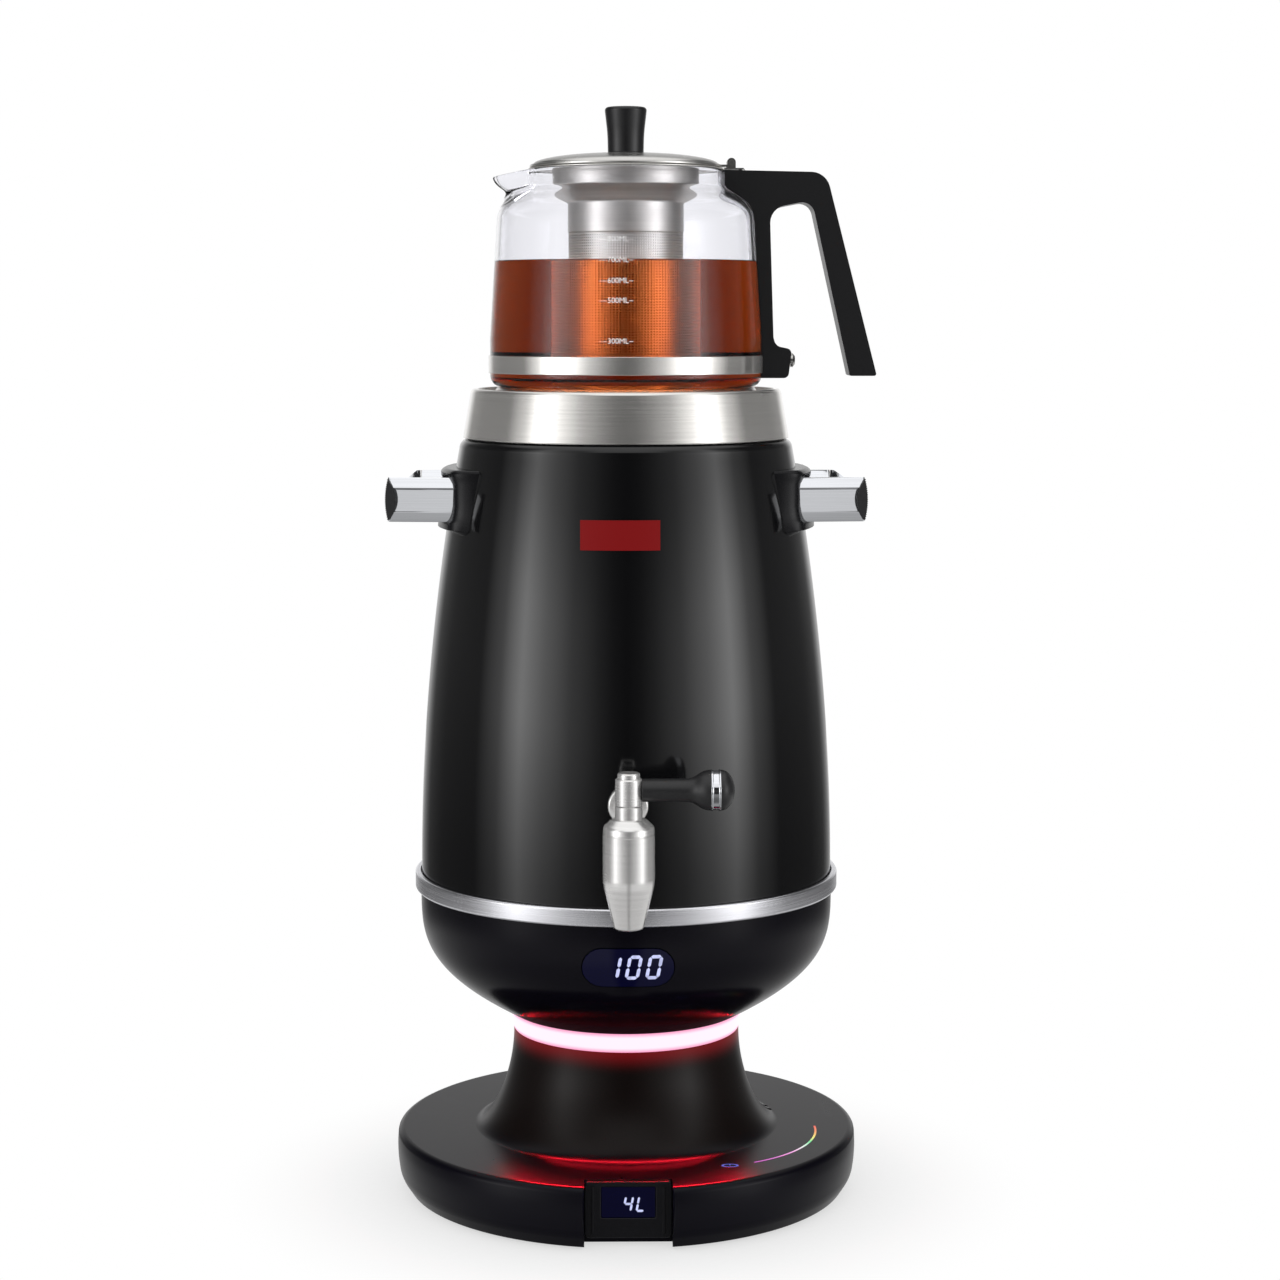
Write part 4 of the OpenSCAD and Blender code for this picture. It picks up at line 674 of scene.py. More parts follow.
class SAMOVAR_OT_base(bpy.types.Operator):
    """Make the base and pedestal housing with its notch, vents and front panel"""
    bl_idname = "samovar.base"
    bl_label = "Base"

    def execute(self, context):
        outer = [(0, 1), (104, 1, 0.8), (108.6, 8, 2.5), (BASE_R, 18.5, 5), (109.35, 30, 3)] + bezier(FLARE)
        inner = [(0, -1), (101.5, -1), (101.5, 1), (106.1, 8), (107.5, 18.5), (106.1, 27.5)]
        inner += [(r, min(z, 74.8)) for r, z in bezier(FLARE, 2.5)]
        cavity = carved(lathe(inner + [(0, 74.8)], False), front_cutter(22.3, -91.5, 0))
        housing = carved(carved(lathe(outer + [(0, NECK_TOP)], False), cavity), front_cutter(19.8, -94, 2.5))
        for angle in (13, 18):
            housing = carved(housing, moved(slab(corners(63.4, -1.5, 73, 1.5, 0.7), 28.2, 37), turn(angle, "Z")))
        piece(housing, "base_housing", "satin_black", "stand", "satin_black", "base_cover", sharp=28)
        plate = slab(corners(-19.7, 4, 19.7, 30, 2), -98, -94.1, "XZ")
        plate = carved(plate, slab(corners(-12.2, 13.2, 12.2, 27.6, 0.6), -110, -90, "XZ"))
        soften(plate, 0.5, 3, 50, lambda e: all(v.co.y < -0.0979 for v in e.verts))
        for x in (-15.95, 15.95):
            rib = slab(corners(x - 0.6, 6, x + 0.6, 28, 0.2), -98.8, -97, "XZ")
            plate = carved(plate, soften(rib, 0.35, 3, 50), "UNION")
        piece(plate, "display_panel", "panel_black", "stand", "panel_black", "front_panel", sharp=40)
        return {"FINISHED"}


class SAMOVAR_OT_controls(bpy.types.Operator):
    """Make the level window, the touch strip and the power key"""
    bl_idname = "samovar.controls"
    bl_label = "Base controls"

    def execute(self, context):
        window = soften(slab(corners(-12.1, 13.3, 12.1, 27.5, 0.6), -97.5, -95.5, "XZ"), 0.25, 3, 60)
        piece(window, "level_lens", "smoked_window", "stand", "smoked_window", "level_window")
        strip = moved(cad_shape("touch_strip"), shift(z=0.08))
        piece(strip, "touch_strip_light", "touch_light", "stand", "touch_light", "touch_strip")
        key = moved(soften(slab(corners(-4, -2.5, 4, 2.5, 2.2), 27.5, 30.12), 0.1, 2, 60), shift(*KEY_AT))
        piece(key, "power_key_lens", "power_key", "stand", "smoked_window", "power_key")
        return {"FINISHED"}


class SAMOVAR_OT_light_ring(bpy.types.Operator):
    """Make the lit ring between the pedestal and the bowl"""
    bl_idname = "samovar.light_ring"
    bl_label = "Light ring"

    def execute(self, context):
        ring = lathe([(53.8, NECK_TOP, 0.4), (54.7, 81.5), (55.3, BOWL_Z, 0.4), (52.3, BOWL_Z), (50.8, NECK_TOP)])
        piece(ring, "lit_ring", "lit_pink", "stand", "lit_pink", "light_ring")
        return {"FINISHED"}


class SAMOVAR_OT_bowl(bpy.types.Operator):
    """Make the bowl with its oval recess, and the window in it"""
    bl_idname = "samovar.bowl"
    bl_label = "Bowl"

    def execute(self, context):
        inner = [(r, max(z, 89)) for r, z in bezier(BOWL, 2.5)]
        inner[-1] = (95.1, BOWL_RIM)
        bowl = lathe([(14.1, BOWL_Z)] + bezier(BOWL, 0, 48) + [(BOWL_R, BOWL_RIM)] + inner[::-1] + [(14.1, 89)])
        w, h, z, gap = 21, 9.4, 127.2, 0.45     # the oval's half width, half height and middle, and the lens's gap
        hole = slab(corners(-w, z - h, w, z + h, h * 0.999), -125, -60, "XZ")
        lens_tool = slab(corners(-w + gap, z - h + gap, w - gap, z + h - gap, h - 0.46), -125, -60, "XZ")
        piece(carved(bowl, hole), "bowl_shell", "gloss_black", "stand", "gloss_black", "bowl", sharp=30)
        skin = lathe(bezier(BOWL, -0.4, 48) + bezier(BOWL, 1.4, 48)[::-1])
        lens = carved(skin, lens_tool, "INTERSECT")
        piece(lens, "temperature_lens", "smoked_window", "stand", "smoked_window", "temp_window", sharp=30)
        belt = lathe([(97.7, BELT_Z, 0.3), (100.2, BELT_Z, 1.1), (100.2, BODY_Z, 1.1), (97.7, BODY_Z, 0.3),
                      (97.7, SHELL_FOOT), (87.7, SHELL_FOOT), (87.7, BOWL_RIM), (97.7, BOWL_RIM)])
        piece(belt, "belt_band", "belt_satin", "stand", "belt_satin", "belt")
        return {"FINISHED"}


class SAMOVAR_OT_body(bpy.types.Operator):
    """Make the body shell and the collar on its shoulder"""
    bl_idname = "samovar.body"
    bl_label = "Body"

    def execute(self, context):
        heights = [BODY_Z + (SHOULDER_Z - BODY_Z) * i / 60 for i in range(61)]
        outer = [(BODY_LOW_R, SHELL_FOOT)] + [(body_r(z), z) for z in heights]
        outer += arc((SHOULDER_R, SHOULDER_Z), 4.5, 8, 90, 10)
        inner = [(68.1, SHELL_TOP), (68.1, 357.3)] + arc((SHOULDER_R, SHOULDER_Z), 3.3, 90, 8, 6)
        inner += [(body_r(z) - 1.2, z) for z in reversed(heights)] + [(96, SHELL_FOOT)]
        piece(lathe(outer + inner, True, 256), "body_casing", "shell_black", "stand", "shell_black",
              "body_shell", sharp=50)
        collar = lathe([(76.2, 358.8, 0.3), (72.3, 381.6, 1.6), (69.5, 381.6, 0.5), (69.5, 376.6), (65.5, 376.6),
                        (65.5, 375.4), (71.1, 375.4), (74.6, 360.5), (68, 360.5), (68, 359.3), (74.7, 359.3),
                        (74.7, 358.8)])
        piece(collar, "collar_ring", "polished_steel", "stand", "polished_steel", "collar")
        return {"FINISHED"}


# A handle's shapes by height above its bar's middle: how far the loop's outer and inner faces stand back,
# and how far the boss reaches out.
LOOP_FACE = ((10.2, 2.9), (9.8, 2.4), (5.5, 0.25), (4.6, 0.25), (-5.1, 2.0), (-5.8, 2.0), (-9.7, 3.3), (-10.2, 3.8))
LOOP_INSIDE = ((10.2, 2.4), (9.7, 2.1), (6.0, 0.0), (-10.2, 0.0))
BOSS_REACH = ((13.8, 0.4), (12.0, 1.6), (10.2, 1.5), (7.5, 0.2), (-2.5, 0.0), (-6.5, 0.7), (-9.0, 1.8), (-10.4, 3.0),
              (-13.6, 3.2), (-14.6, 0.0), (-16.0, -4.0), (-17.5, -7.0), (-19.0, -9.0))


def along_profile(profile, level):
    for (high, there), (low, then) in zip(profile, profile[1:]):
        if level >= low:
            return there + (then - there) * min(1.0, (high - level) / (high - low))
    return profile[-1][1]


def sliced(bm, profile):
    """Cut level edges into a shape at the heights of a profile."""
    for level, _ in profile:
        bmesh.ops.bisect_plane(bm, geom=bm.verts[:] + bm.edges[:] + bm.faces[:], dist=1e-7,
                               plane_co=(0, 0, (HANDLE_Z + level) * MM), plane_no=(0, 0, 1))


def is_level(edge):
    return abs(edge.verts[0].co.z - edge.verts[1].co.z) < 1e-6


def handle_loop():
    """The chrome loop: a bar bent round three sides whose faces lean in, hollowed along its outer side."""
    loop = slab([(79, 38), (109.4, 38, 1.5), (109.4, -38, 1.5), (79, -38), (79, -29), (100.1, -29, 3),
                 (100.1, 29, 3), (79, 29)], HANDLE_Z - 10.2, HANDLE_Z + 10.2)
    sliced(loop, LOOP_FACE + LOOP_INSIDE)
    for vert in loop.verts:
        level, outer = vert.co.z / MM - HANDLE_Z, min(1.0, max(0.0, (abs(vert.co.y) / MM - 30) / 6))
        inner = min(1.0, max(0.0, (abs(vert.co.y) / MM - 25) / 4)) if outer == 0 else 0.0
        aside = along_profile(LOOP_INSIDE, level) * inner - along_profile(LOOP_FACE, level) * outer
        vert.co.y += (aside - 0.105 * outer * (vert.co.x / MM - 79)) * copysign(MM, vert.co.y)
    soften(loop, sizes().loop_round / MM, 2, 5, lambda e: is_level(e) and all(abs(v.co.y) > 0.031 for v in e.verts))
    hollow = lathe([(0, -60), (HOLLOW_R, -60), (HOLLOW_R, 60), (0, 60)], False, 160)
    moved(hollow, turn(90, "X"), shift(HOLLOW_X, 0, HANDLE_Z))
    return soften(carved(loop, hollow), 0.3, 2, 60, lambda e: min(v.co.x for v in e.verts) > 0.1)


def handle_grip():
    """The rubber strip in the loop's outer side, with fine ribs along it."""
    half = 9.6      # half the strip's height
    back = [(HOLLOW_X - sqrt(GRIP_BACK_R ** 2 - z * z), HANDLE_Z + z) for z in [half - 1.2 * i for i in range(17)]]
    ribs = [-half + 0.5 * i for i in range(39)]
    face = [(109.3 + 1.25 * (1 - (z / half) ** 2) - (0.42 if i % 2 else 0.0), HANDLE_Z + z) for i, z in enumerate(ribs)]
    return slab(back + face[1:], -37.2, 37.2, "XZ")


def handle_boss():
    """The moulding that a handle grows out of: it bulges round the loop's legs, with a lip under them."""
    plan = []
    for y in [43.5, 43.2, 42.4, 41, 39, 36, 30, 20, 10]:
        crown = 85.0 - y * y / 242
        if y > 36:
            crown = 79.65 - (1 - sqrt(1 - ((y - 36) / 7.5) ** 2)) * 13
        plan.append((crown, y))
    plan += [(85.0, 0)] + [(x, -y) for x, y in reversed(plan)]
    boss = slab([(60, 43.5)] + plan + [(60, -43.5)], HANDLE_Z - 19, HANDLE_Z + 13.8)
    soften(boss, 1.6, 4, 60, lambda e: is_level(e) and max(v.co.x for v in e.verts) > 0.061)
    sliced(boss, BOSS_REACH[1:-1])
    for vert in boss.verts:
        reach = along_profile(BOSS_REACH, vert.co.z / MM - HANDLE_Z)
        vert.co.x += reach * MM * max(0.0, (vert.co.x / MM - 62) / 22)
    casing = [(0, BODY_Z)] + [(body_r(z) - 0.3, z) for z in range(160, 354, 6)]
    casing += [(body_r(SHOULDER_Z), SHOULDER_Z), (0, SHOULDER_Z)]
    return carved(boss, lathe(casing, False))


class SAMOVAR_OT_handles(bpy.types.Operator):
    """Make the two lifting handles with their bosses and ribbed grips"""
    bl_idname = "samovar.handles"
    bl_label = "Lifting handles"

    def execute(self, context):
        for side, sign in (("right", 1), ("left", -1)):
            loop, boss, grip = handle_loop(), handle_boss(), handle_grip()
            for shape in (loop, boss, grip):
                moved(shape, Matrix.Scale(sign, 4, (1, 0, 0)))
                bmesh.ops.recalc_face_normals(shape, faces=shape.faces)
            piece(loop, side + "_handle_loop", "chrome", "stand", "chrome", side + "_handle")
            piece(boss, side + "_handle_boss", "boss_black", "stand", "satin_black", side + "_boss")
            piece(grip, side + "_handle_grip", "rubber_black", "stand", "rubber_black", side + "_grip", sharp=20)
        return {"FINISHED"}


def about_x(points):
    """A turned piece of the lever, from (distance from the tap's axis, radius) points."""
    bm = lathe([(p[1], p[0], *p[2:]) for p in points], False, SMALL_STEPS)
    return moved(bm, turn(90, "Y"), shift(0, TAP_Y, LEVER_Z))


class SAMOVAR_OT_tap(bpy.types.Operator):
    """Make the tap: flange, body with its inlet, turning column, cap and lever"""
    bl_idname = "samovar.tap"
    bl_label = "Tap"

    def execute(self, context):
        body = lathe([(0, 188), (4, 188), (4, 151.6, 0.5), (6.3, 151.6, 1.2), (11.3, 171.6, 2.5), (11.25, 193),
                      (10.8, 193.1), (10.8, 193.8), (11.2, 193.9), (11, 196.6, 0.9), (7.4, 200, 0.5), (5.9, 200.2),
                      (5.9, 205.5, 0.3), (0, 205.5)], False, SMALL_STEPS)
        inlet = lathe([(0, 85), (4.7, 85), (4.7, 126), (0, 126)], False, 48)
        body = carved(moved(body, shift(0, TAP_Y)), moved(inlet, turn(90, "X"), shift(0, 0, INLET_Z)), "UNION")
        piece(body, "tap_barrel", "tap_steel", "stand", "chrome", "tap_body", sharp=28)
        flange = lathe([(4.8, 92.5), (9, 92.5), (9, 98.9, 1.0), (6.5, 99.3, 0.6), (4.8, 99.3)], True, SMALL_STEPS)
        piece(moved(flange, turn(90, "X"), shift(0, 0, INLET_Z)), "tap_rose", "tap_steel", "stand", "chrome",
              "tap_flange")
        column = lathe([(0, 191.8), (4, 191.8), (4, 205.8), (5.9, 205.8, 0.4), (5.9, 217.6, 0.9), (0, 217.6)],
                       False, SMALL_STEPS)
        piece(moved(column, shift(0, TAP_Y)), "tap_column", "tap_steel", "tap_handle", "chrome", "tap_plug")
        cap = lathe([(0, 217.6), (4.9, 217.6), (4.9, 220.1, 1.0), (0, 220.1)], False, SMALL_STEPS)
        piece(moved(cap, shift(0, TAP_Y)), "tap_column_cap", "tap_steel", "tap_handle", "chrome", "tap_cap")
        flare = bezier([(24.3, 5), (29.8, 5), (29.8, 8.6), (35.3, 8.8)])
        arm = about_x([(5.5, 0), (5.5, 5, 0.4)] + flare + [(35.3, 0)])
        piece(arm, "tap_lever_arm", "lever_black", "tap_handle", "lever_black", "tap_lever")
        ring = about_x([(35.3, 0), (35.3, 9, 0.3), (36.1, 9, 0.3), (36.3, 8.6), (38.6, 8.6), (38.8, 9, 0.3),
                        (39.6, 9, 0.3), (39.6, 0)])
        piece(ring, "tap_lever_band", "chrome", "tap_handle", "chrome", "lever_ring")
        end = about_x([(39.6, 0)] + [(39.6 + 6 * sin(radians(a)), 8.8 * cos(radians(a))) for a in range(0, 91, 6)])
        piece(end, "tap_lever_end", "lever_black", "tap_handle", "lever_black", "lever_knob")
        return {"FINISHED"}


def pot_foot(d):
    """The pot's outline from its axis to the start of its taper, d inside its outer face."""
    return [(0, POT_Z + d)] + arc((58.4, 387.5), 5 - d, 270, 360, 7) + [(POT_R - d, POT_LOW_Z)]


def glass_wall(d):
    """The pot's outline from its axis up to its rim, d inside its outer face."""
    points = pot_foot(d)
    points += [(POT_R - d - POT_TAPER * i / 6, POT_LOW_Z + POT_TAPER_H * i / 6) for i in range(1, 6)]
    points += bezier(POT_SHOULDER, d, 18)
    return points + [(46.4 - d, z) for z in (477.2, 478.4, 479.6, 480.8, 481.6)]


def glass_r(z):
    """Outer radius of the glass's straight wall at height z."""
    return POT_R - POT_TAPER * max(0.0, (z - POT_LOW_Z) / POT_TAPER_H)


def pull_spout(bm):
    """Draw the neck out to a lip towards -X that droops to its tip."""
    start, half_angle, reach, narrowing, droop = 467, radians(23), 15.4, 0.25, 3.0
    for vert in bm.verts:
        rise = (vert.co.z / MM - start) / (RIM_Z - start)
        away = abs(atan2(vert.co.y, -vert.co.x)) / half_angle
        if rise > 0 and away < 1:
            pull = (0.5 + 0.5 * cos(pi * away)) ** 1.25 * sin(pi / 2 * min(1.0, rise)) ** 1.3
            vert.co.x -= reach * MM * pull
            vert.co.y *= 1 - narrowing * pull
            vert.co.z -= droop * MM * pull


class SAMOVAR_OT_teapot(bpy.types.Operator):
    """Make the teapot: glass with its spout, steel band and handle"""
    bl_idname = "samovar.teapot"
    bl_label = "Teapot"

    def execute(self, context):
        rim = [(45.9, 482.3), (45.35, RIM_Z), (44.8, 482.3)]
        glass = lathe(glass_wall(0) + rim + glass_wall(2.1)[::-1], False)
        pull_spout(glass)
        piece(glass, "pot_glass_wall", "pot_glass", "teapot", "pot_glass", "pot_glass", sharp=60)
        band = lathe([(63.5, 388.8, 0.15), (64.2, 388.8, 0.3), (64.2, 397, 0.3), (63.5, 397, 0.15)])
        piece(band, "pot_steel_band", "polished_steel", "teapot", "chrome", "pot_band")
        grip = cad_shape("pot_handle")
        bmesh.ops.recalc_face_normals(grip, faces=grip.faces)
        piece(soften(grip, sizes().edge_round / MM, 4, 50), "pot_grip", "handle_black", "teapot", "handle_black",
              "pot_handle", sharp=30)
        return {"FINISHED"}


class SAMOVAR_OT_tea(bpy.types.Operator):
    """Fill the teapot with tea up to its level"""
    bl_idname = "samovar.tea"
    bl_label = "Tea"

    def execute(self, context):
        top, d = sizes().tea_top / MM, 1.95     # a little into the glass, so that no air shows between them
        side = glass_r(top) - d
        tea = lathe(pot_foot(d) + [(side, top + 0.5), (side - 0.6, top + 0.1), (side - 1.6, top), (0, top)], False)
        piece(tea, "brewed_tea", "tea", "teapot", "pot_glass")
        return {"FINISHED"}


class SAMOVAR_OT_infuser(bpy.types.Operator):
    """Make the infuser with its perforated basket, plain skirt and flange"""
    bl_idname = "samovar.infuser"
    bl_label = "Infuser"

    def execute(self, context):
        pitch = sizes().hole_pitch / MM
        low, high, r, sheet = 397.0, 454.0, 26.7, 0.5
        rows, holes = round((high - low) / pitch), round(2 * pi * r / pitch)
        net = lathe([(r, low + (high - low) * i / rows) for i in range(rows + 1)], False, holes)
        cells = net.faces[:]
        bmesh.ops.inset_individual(net, faces=cells, thickness=sizes().hole_share * pitch * MM)
        bmesh.ops.delete(net, geom=cells, context="FACES")
        bmesh.ops.solidify(net, geom=net.faces[:], thickness=sheet * MM)
        top = lathe([(33.4, 483.1), (45.2, 483.1, 0.2), (45.2, 482.5, 0.2), (34, 482.5), (34, 473.9, 1), (27, 468.9, 1),
                     (27, high - 0.1), (26.4, high - 0.1), (26.4, 469.2, 1), (33.4, 474.2, 1)])
        foot = lathe([(0, 392.5), (27, 392.5, 0.8), (27, low + 0.1), (26.4, low + 0.1), (26.4, 393.1, 0.4),
                      (0, 393.1)], False)
        piece(joined(net, top, foot), "infuser_basket", "mesh_steel", "teapot", "polished_steel",
              "infuser", sharp=40)
        return {"FINISHED"}


class SAMOVAR_OT_pot_lid(bpy.types.Operator):
    """Make the teapot's domed lid with its hinge knuckle, and its knob"""
    bl_idname = "samovar.pot_lid"
    bl_label = "Pot lid"

    def execute(self, context):
        dome = [(43.2 * cos(radians(a)), 484.7 + 5.5 * sin(radians(a))) for a in range(0, 90, 6)]
        under = [(41.9 * cos(radians(a)), 484.1 + 5.5 * sin(radians(a))) for a in range(84, -1, -6)]
        lid = lathe([(0, 489.6)] + under + [(31.8, 484), (31.8, 479.4), (32.4, 479.4), (32.4, 483.4),
                    (44.6, 483.4, 0.5), (44.6, 484.75, 0.5)] + dome + [(0, 490.2)], False)
        knuckle = moved(lathe([(1.06, -4), (2, -4, 0.2), (2, 4, 0.2), (1.06, 4)], True, 48), turn(90, "X"),
                        shift(48.8, 0, 485.8))
        tab = slab([(42.6, 483.85), (47.6, 483.85), (47.6, 484.8), (42.6, 484.8)], -4, 4, "XZ")
        piece(joined(lid, knuckle, tab), "pot_lid_dome", "lid_steel", "pot_lid", "polished_steel",
              "pot_lid", sharp=40)
        knob = lathe([(0, 490.2), (8.3, 490.2, 0.5), (8.5, 499, 3), (9.9, 511.2, 1.8), (0, 511.2)], False)
        piece(knob, "pot_lid_knob", "handle_black", "pot_lid", "handle_black", "lid_knob")
        return {"FINISHED"}


def wrapped_text(words, height, z, left):
    """Flat lettering as a mesh, wrapped on the front of the pot's glass."""
    curve = bpy.data.curves.new("mark", "FONT")
    curve.body, curve.size, curve.resolution_u = words, height, 3
    obj = bpy.data.objects.new("mark", curve)
    bpy.context.scene.collection.objects.link(obj)
    bpy.context.view_layer.update()
    mesh = bpy.data.meshes.new_from_object(obj.evaluated_get(bpy.context.evaluated_depsgraph_get()))
    bm = bmesh.new()
    bm.from_mesh(mesh)
    bpy.data.objects.remove(obj)
    bpy.data.curves.remove(curve)
    bpy.data.meshes.remove(mesh)
    for vert in bm.verts:
        up = z + vert.co.y / MM
        r = glass_r(up) + 0.04
        angle = (left + vert.co.x / MM) / r
        vert.co = Vector((r * sin(angle), -r * cos(angle), up)) * MM
    return bm


class SAMOVAR_OT_marks(bpy.types.Operator):
    """Print the volume marks on the teapot's glass"""
    bl_idname = "samovar.marks"
    bl_label = "Volume marks"

    def execute(self, context):
        size, marks = sizes().mark_height, []
        for volume, z in ((800, 449.2), (700, 440.0), (600, 430.8), (500, 422.0), (300, 404.0)):
            low = z - size / MM * 0.36
            for words, scale, left in ((f"{volume}ML", 1.15, -8.8), ("\u2014", 1.15, -12.7), ("\u2013", 1.25, 0.9)):
                marks.append(wrapped_text(words, size * scale, low, left))
        piece(joined(*marks), "volume_marks", "mark_white", "teapot", "lit_figures")
        return {"FINISHED"}


# The nodes that keep their CAD shape, by finish
CARRIED = {
    "rubber_black": ("foot_ring", "cord_gland", "wire_harness", "thermostat"),
    "satin_black": ("base_plate",),
    "lit_figures": ("level_digits", "temp_digits", "led_strip"),
    "belt_satin": ("heating_plate",),
    "lid_steel": ("tank_lid", "hinge_bracket"),
    "tank_steel": ("tank", "temp_probe", "level_probe"),
    "badge_red": ("badge_blank",),
    "board_green": ("level_board", "control_board", "temp_board"),
    "silicone": ("probe_seals", "tap_spacer", "tap_gasket", "tank_lid_gasket"),
    "screw_steel": ("base_screws", "stem_tube", "stem_nuts", "handle_screws", "tap_nut", "lever_pin", "band_screw",
                    "hinge_pin"),
}


class SAMOVAR_OT_carried(bpy.types.Operator):
    """Give the pieces that keep their CAD shape their finishes"""
    bl_idname = "samovar.carried"
    bl_label = "Plain pieces"

    def execute(self, context):
        for finish, names in CARRIED.items():
            for name in names:
                for place in CAD[name].material_slots:
                    place.material = FINISHES[finish]
        return {"FINISHED"}


# ---- Stage ----

# The mirrored studio's levels: around from the front (0) to the back (1), up from straight below (0) to straight
# above (1), and the same for the floor
AROUND = ((0.0, 0.02), (0.045, 0.08), (0.09, 0.25), (0.18, 0.8), (0.27, 2.1), (0.35, 3.9), (0.43, 1.1), (0.52, 0.17),
          (0.7, 0.15), (0.81, 0.25), (0.89, 1.0), (1.0, 1.1))
UPWARDS = ((0.3, 0.3), (0.41, 0.4), (0.46, 0.7), (0.5, 1.0), (0.56, 1.0), (0.62, 0.55), (0.8, 0.4), (1.0, 0.3))
BELOW = ((0.0, 0.28), (0.2, 0.42), (0.28, 0.62), (0.38, 0.7))
PLAIN_LEVEL = 0.92                # what the world gives to every ray that isn't mirrored
DEPTH_IN_TEA, TEA_BOOST = (4.5, 5.5), 7.0   # number of glass and tea faces passed, and the gain after them


def levels(tree, value, stops):
    """A grey level that follows a list of (position, level) stops."""
    return ramp(tree, value, [(at, grey(level)) for at, level in stops])


def studio_pattern(tree, direction):
    """What the object mirrors: two tall soft boxes at the sides, a dark gap in front, a white backdrop behind,
    a panel overhead and a floor below with a dark line towards the front."""
    part = parted(tree, direction)
    azimuth = azimuth_from_front(tree, part)
    rise = math(tree, "MULTIPLY_ADD", part[2], 0.5, 0.5)
    round_about = levels(tree, math(tree, "DIVIDE", azimuth, pi), AROUND)
    boxes = mixed(tree, 1.0, round_about, levels(tree, rise, UPWARDS), "MULTIPLY")
    front = math(tree, "MULTIPLY", span(tree, azimuth, radians(18), radians(42), 1.0, 0.0),
                 span(tree, part[2], 0.36, 0.5))
    boxes = mixed(tree, front, boxes, grey(0.95))
    boxes = mixed(tree, span(tree, part[2], 0.6, 0.85), boxes, grey(1.1))
    dark_line = span(tree, azimuth, radians(5), radians(11), 0.3, 1.0)
    ground = mixed(tree, 1.0, levels(tree, rise, BELOW), dark_line, "MULTIPLY")
    return mixed(tree, span(tree, part[2], -0.3, -0.2), ground, boxes)


def make_world(level):
    """White to the eye, a plain light to dull surfaces, and the studio to polished ones."""
    world = bpy.data.worlds.new("Studio")
    world.use_nodes = True
    tree = world.node_tree
    tree.nodes.clear()
    mirrored = studio_pattern(tree, put(tree, "TexCoord").outputs["Generated"])
    path, straight = light_path(tree)
    glossy = mixed(tree, path["Is Glossy Ray"], grey(PLAIN_LEVEL * level), mirrored)
    unmirrored = math(tree, "LESS_THAN", path["Glossy Depth"], 0.5)
    through = math(tree, "MULTIPLY", path["Is Transmission Ray"], math(tree, "SUBTRACT", 1.0, unmirrored))
    deep = span(tree, path["Transmission Depth"], *DEPTH_IN_TEA, 1.0, TEA_BOOST)
    brighter = put(tree, "VectorMath", {"operation": "SCALE"}, i0=mirrored, Scale=deep).outputs[0]
    glossy = mixed(tree, through, glossy, brighter)
    colour = mixed(tree, math(tree, "MULTIPLY", straight, unmirrored), glossy, WHITE)
    shader = put(tree, "Background", Color=colour, Strength=1.0)
    tree.links.new(shader.outputs[0], put(tree, "OutputWorld").inputs[0])
    bpy.context.scene.world = world


def floor_finish():
    """Pale floor that keeps the soft shadow near the object and turns into the white backdrop further off."""
    material, tree, shader = surface("Pale floor", Roughness=0.9, Specular_IOR_Level=0.0, Emission_Strength=1.0)
    at = object_coordinates(tree)
    far = put(tree, "VectorMath", {"operation": "LENGTH"}, i0=at).outputs["Value"]
    behind = span(tree, azimuth_from_front(tree, parted(tree, at)), radians(152), radians(172))
    path, straight = light_path(tree)
    mirrored = math(tree, "MULTIPLY", path["Is Glossy Ray"], behind)
    white = math(tree, "MULTIPLY", span(tree, far, *SHADOW_END, 0.62, 1.0), math(tree, "MAXIMUM", straight, mirrored))
    grain = put(tree, "TexNoise", Vector=at, Scale=300.0, Detail=2.0)
    pale = mixed(tree, span(tree, grain.outputs[0], 0.3, 0.7), grey(0.93), grey(0.95))
    tree.links.new(mixed(tree, white, pale, DARK), shader.inputs["Base Color"])
    tree.links.new(mixed(tree, white, DARK, WHITE), shader.inputs["Emission Color"])
    hidden = math(tree, "MULTIPLY", path["Is Glossy Ray"], math(tree, "SUBTRACT", 1.0, behind))
    mix = put(tree, "MixShader", i0=hidden, i1=shader.outputs[0], i2=put(tree, "BsdfTransparent").outputs[0])
    tree.links.new(mix.outputs[0], tree.nodes["Material Output"].inputs["Surface"])
    return material


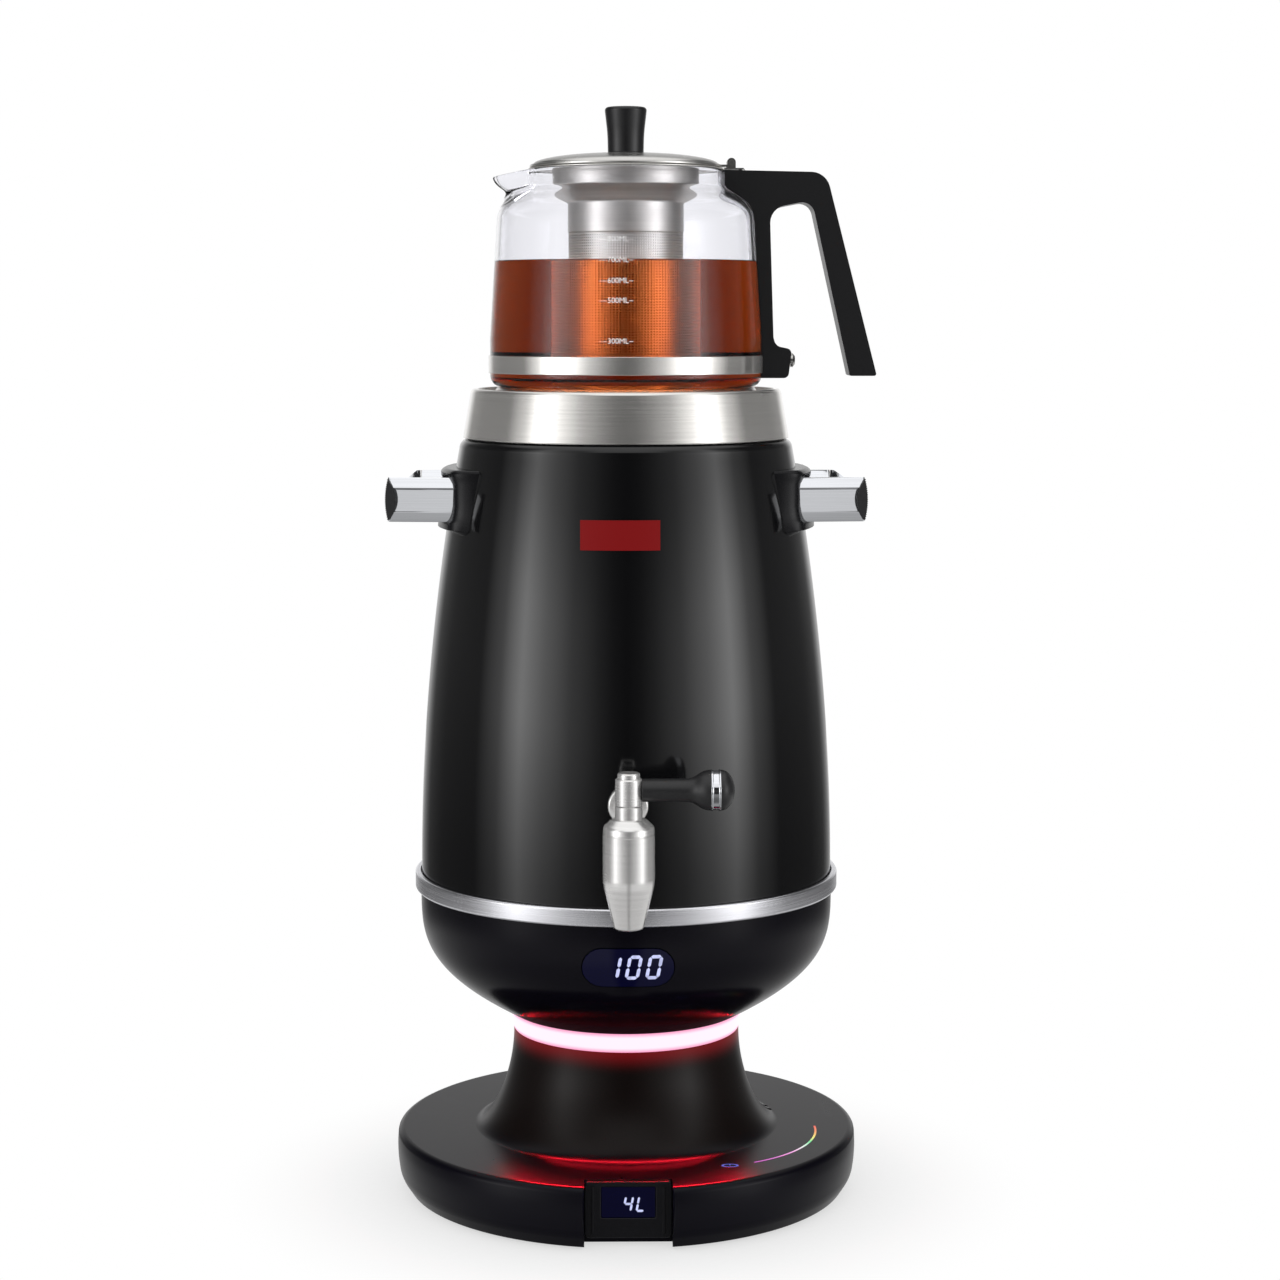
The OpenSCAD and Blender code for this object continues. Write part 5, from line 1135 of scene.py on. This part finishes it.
class SAMOVAR_OT_stage(bpy.types.Operator):
    """Set the floor, the white studio and the camera"""
    bl_idname = "samovar.stage"
    bl_label = "Stage"

    def execute(self, context):
        studio = context.scene.samovar_studio
        bm = bmesh.new()
        bmesh.ops.create_circle(bm, cap_ends=True, segments=SMALL_STEPS, radius=1.6)
        floor = loose(bm, "floor")
        floor.data.materials.append(floor_finish())
        make_world(studio.surroundings)
        camera = bpy.data.objects.new("camera", bpy.data.cameras.new("camera"))
        context.scene.collection.objects.link(camera)
        camera.data.lens, camera.data.sensor_width = studio.lens, 36.0
        camera.location = studio.camera_place
        camera.rotation_euler = studio.camera_turn
        context.scene.camera = camera
        context.scene.view_settings.view_transform = "Standard"
        return {"FINISHED"}


# ---- Add-on ----

STEPS_IN_ORDER = (SAMOVAR_OT_finishes, SAMOVAR_OT_base, SAMOVAR_OT_controls, SAMOVAR_OT_light_ring,
                  SAMOVAR_OT_bowl, SAMOVAR_OT_body, SAMOVAR_OT_handles, SAMOVAR_OT_tap, SAMOVAR_OT_teapot,
                  SAMOVAR_OT_tea, SAMOVAR_OT_infuser, SAMOVAR_OT_pot_lid, SAMOVAR_OT_marks, SAMOVAR_OT_carried,
                  SAMOVAR_OT_stage)
GROUPS = (("samovar_sizes", SamovarSizes), ("samovar_looks", SamovarLooks), ("samovar_studio", SamovarStudio))


class SAMOVAR_PT_panel(bpy.types.Panel):
    """Lists the samovar's sizes, colours and pieces"""
    bl_idname = "SAMOVAR_PT_panel"
    bl_label = "Samovar"
    bl_space_type = "VIEW_3D"
    bl_region_type = "UI"
    bl_category = "Samovar"

    def draw(self, context):
        for attribute, kind in GROUPS:
            box = self.layout.box()
            for name in kind.__annotations__:
                box.prop(getattr(context.scene, attribute), name)
        for operator in STEPS_IN_ORDER:
            self.layout.operator(operator.bl_idname)


def register():
    for attribute, kind in GROUPS:
        bpy.utils.register_class(kind)
        setattr(bpy.types.Scene, attribute, bpy.props.PointerProperty(type=kind))
    for kind in STEPS_IN_ORDER + (SAMOVAR_PT_panel,):
        bpy.utils.register_class(kind)


def unregister():
    for kind in (SAMOVAR_PT_panel,) + STEPS_IN_ORDER[::-1]:
        bpy.utils.unregister_class(kind)
    for attribute, kind in GROUPS[::-1]:
        delattr(bpy.types.Scene, attribute)
        bpy.utils.unregister_class(kind)


def main():
    register()
    for operator in STEPS_IN_ORDER:
        getattr(bpy.ops.samovar, operator.bl_idname.split(".")[1])()


if __name__ == "__main__":
    main()
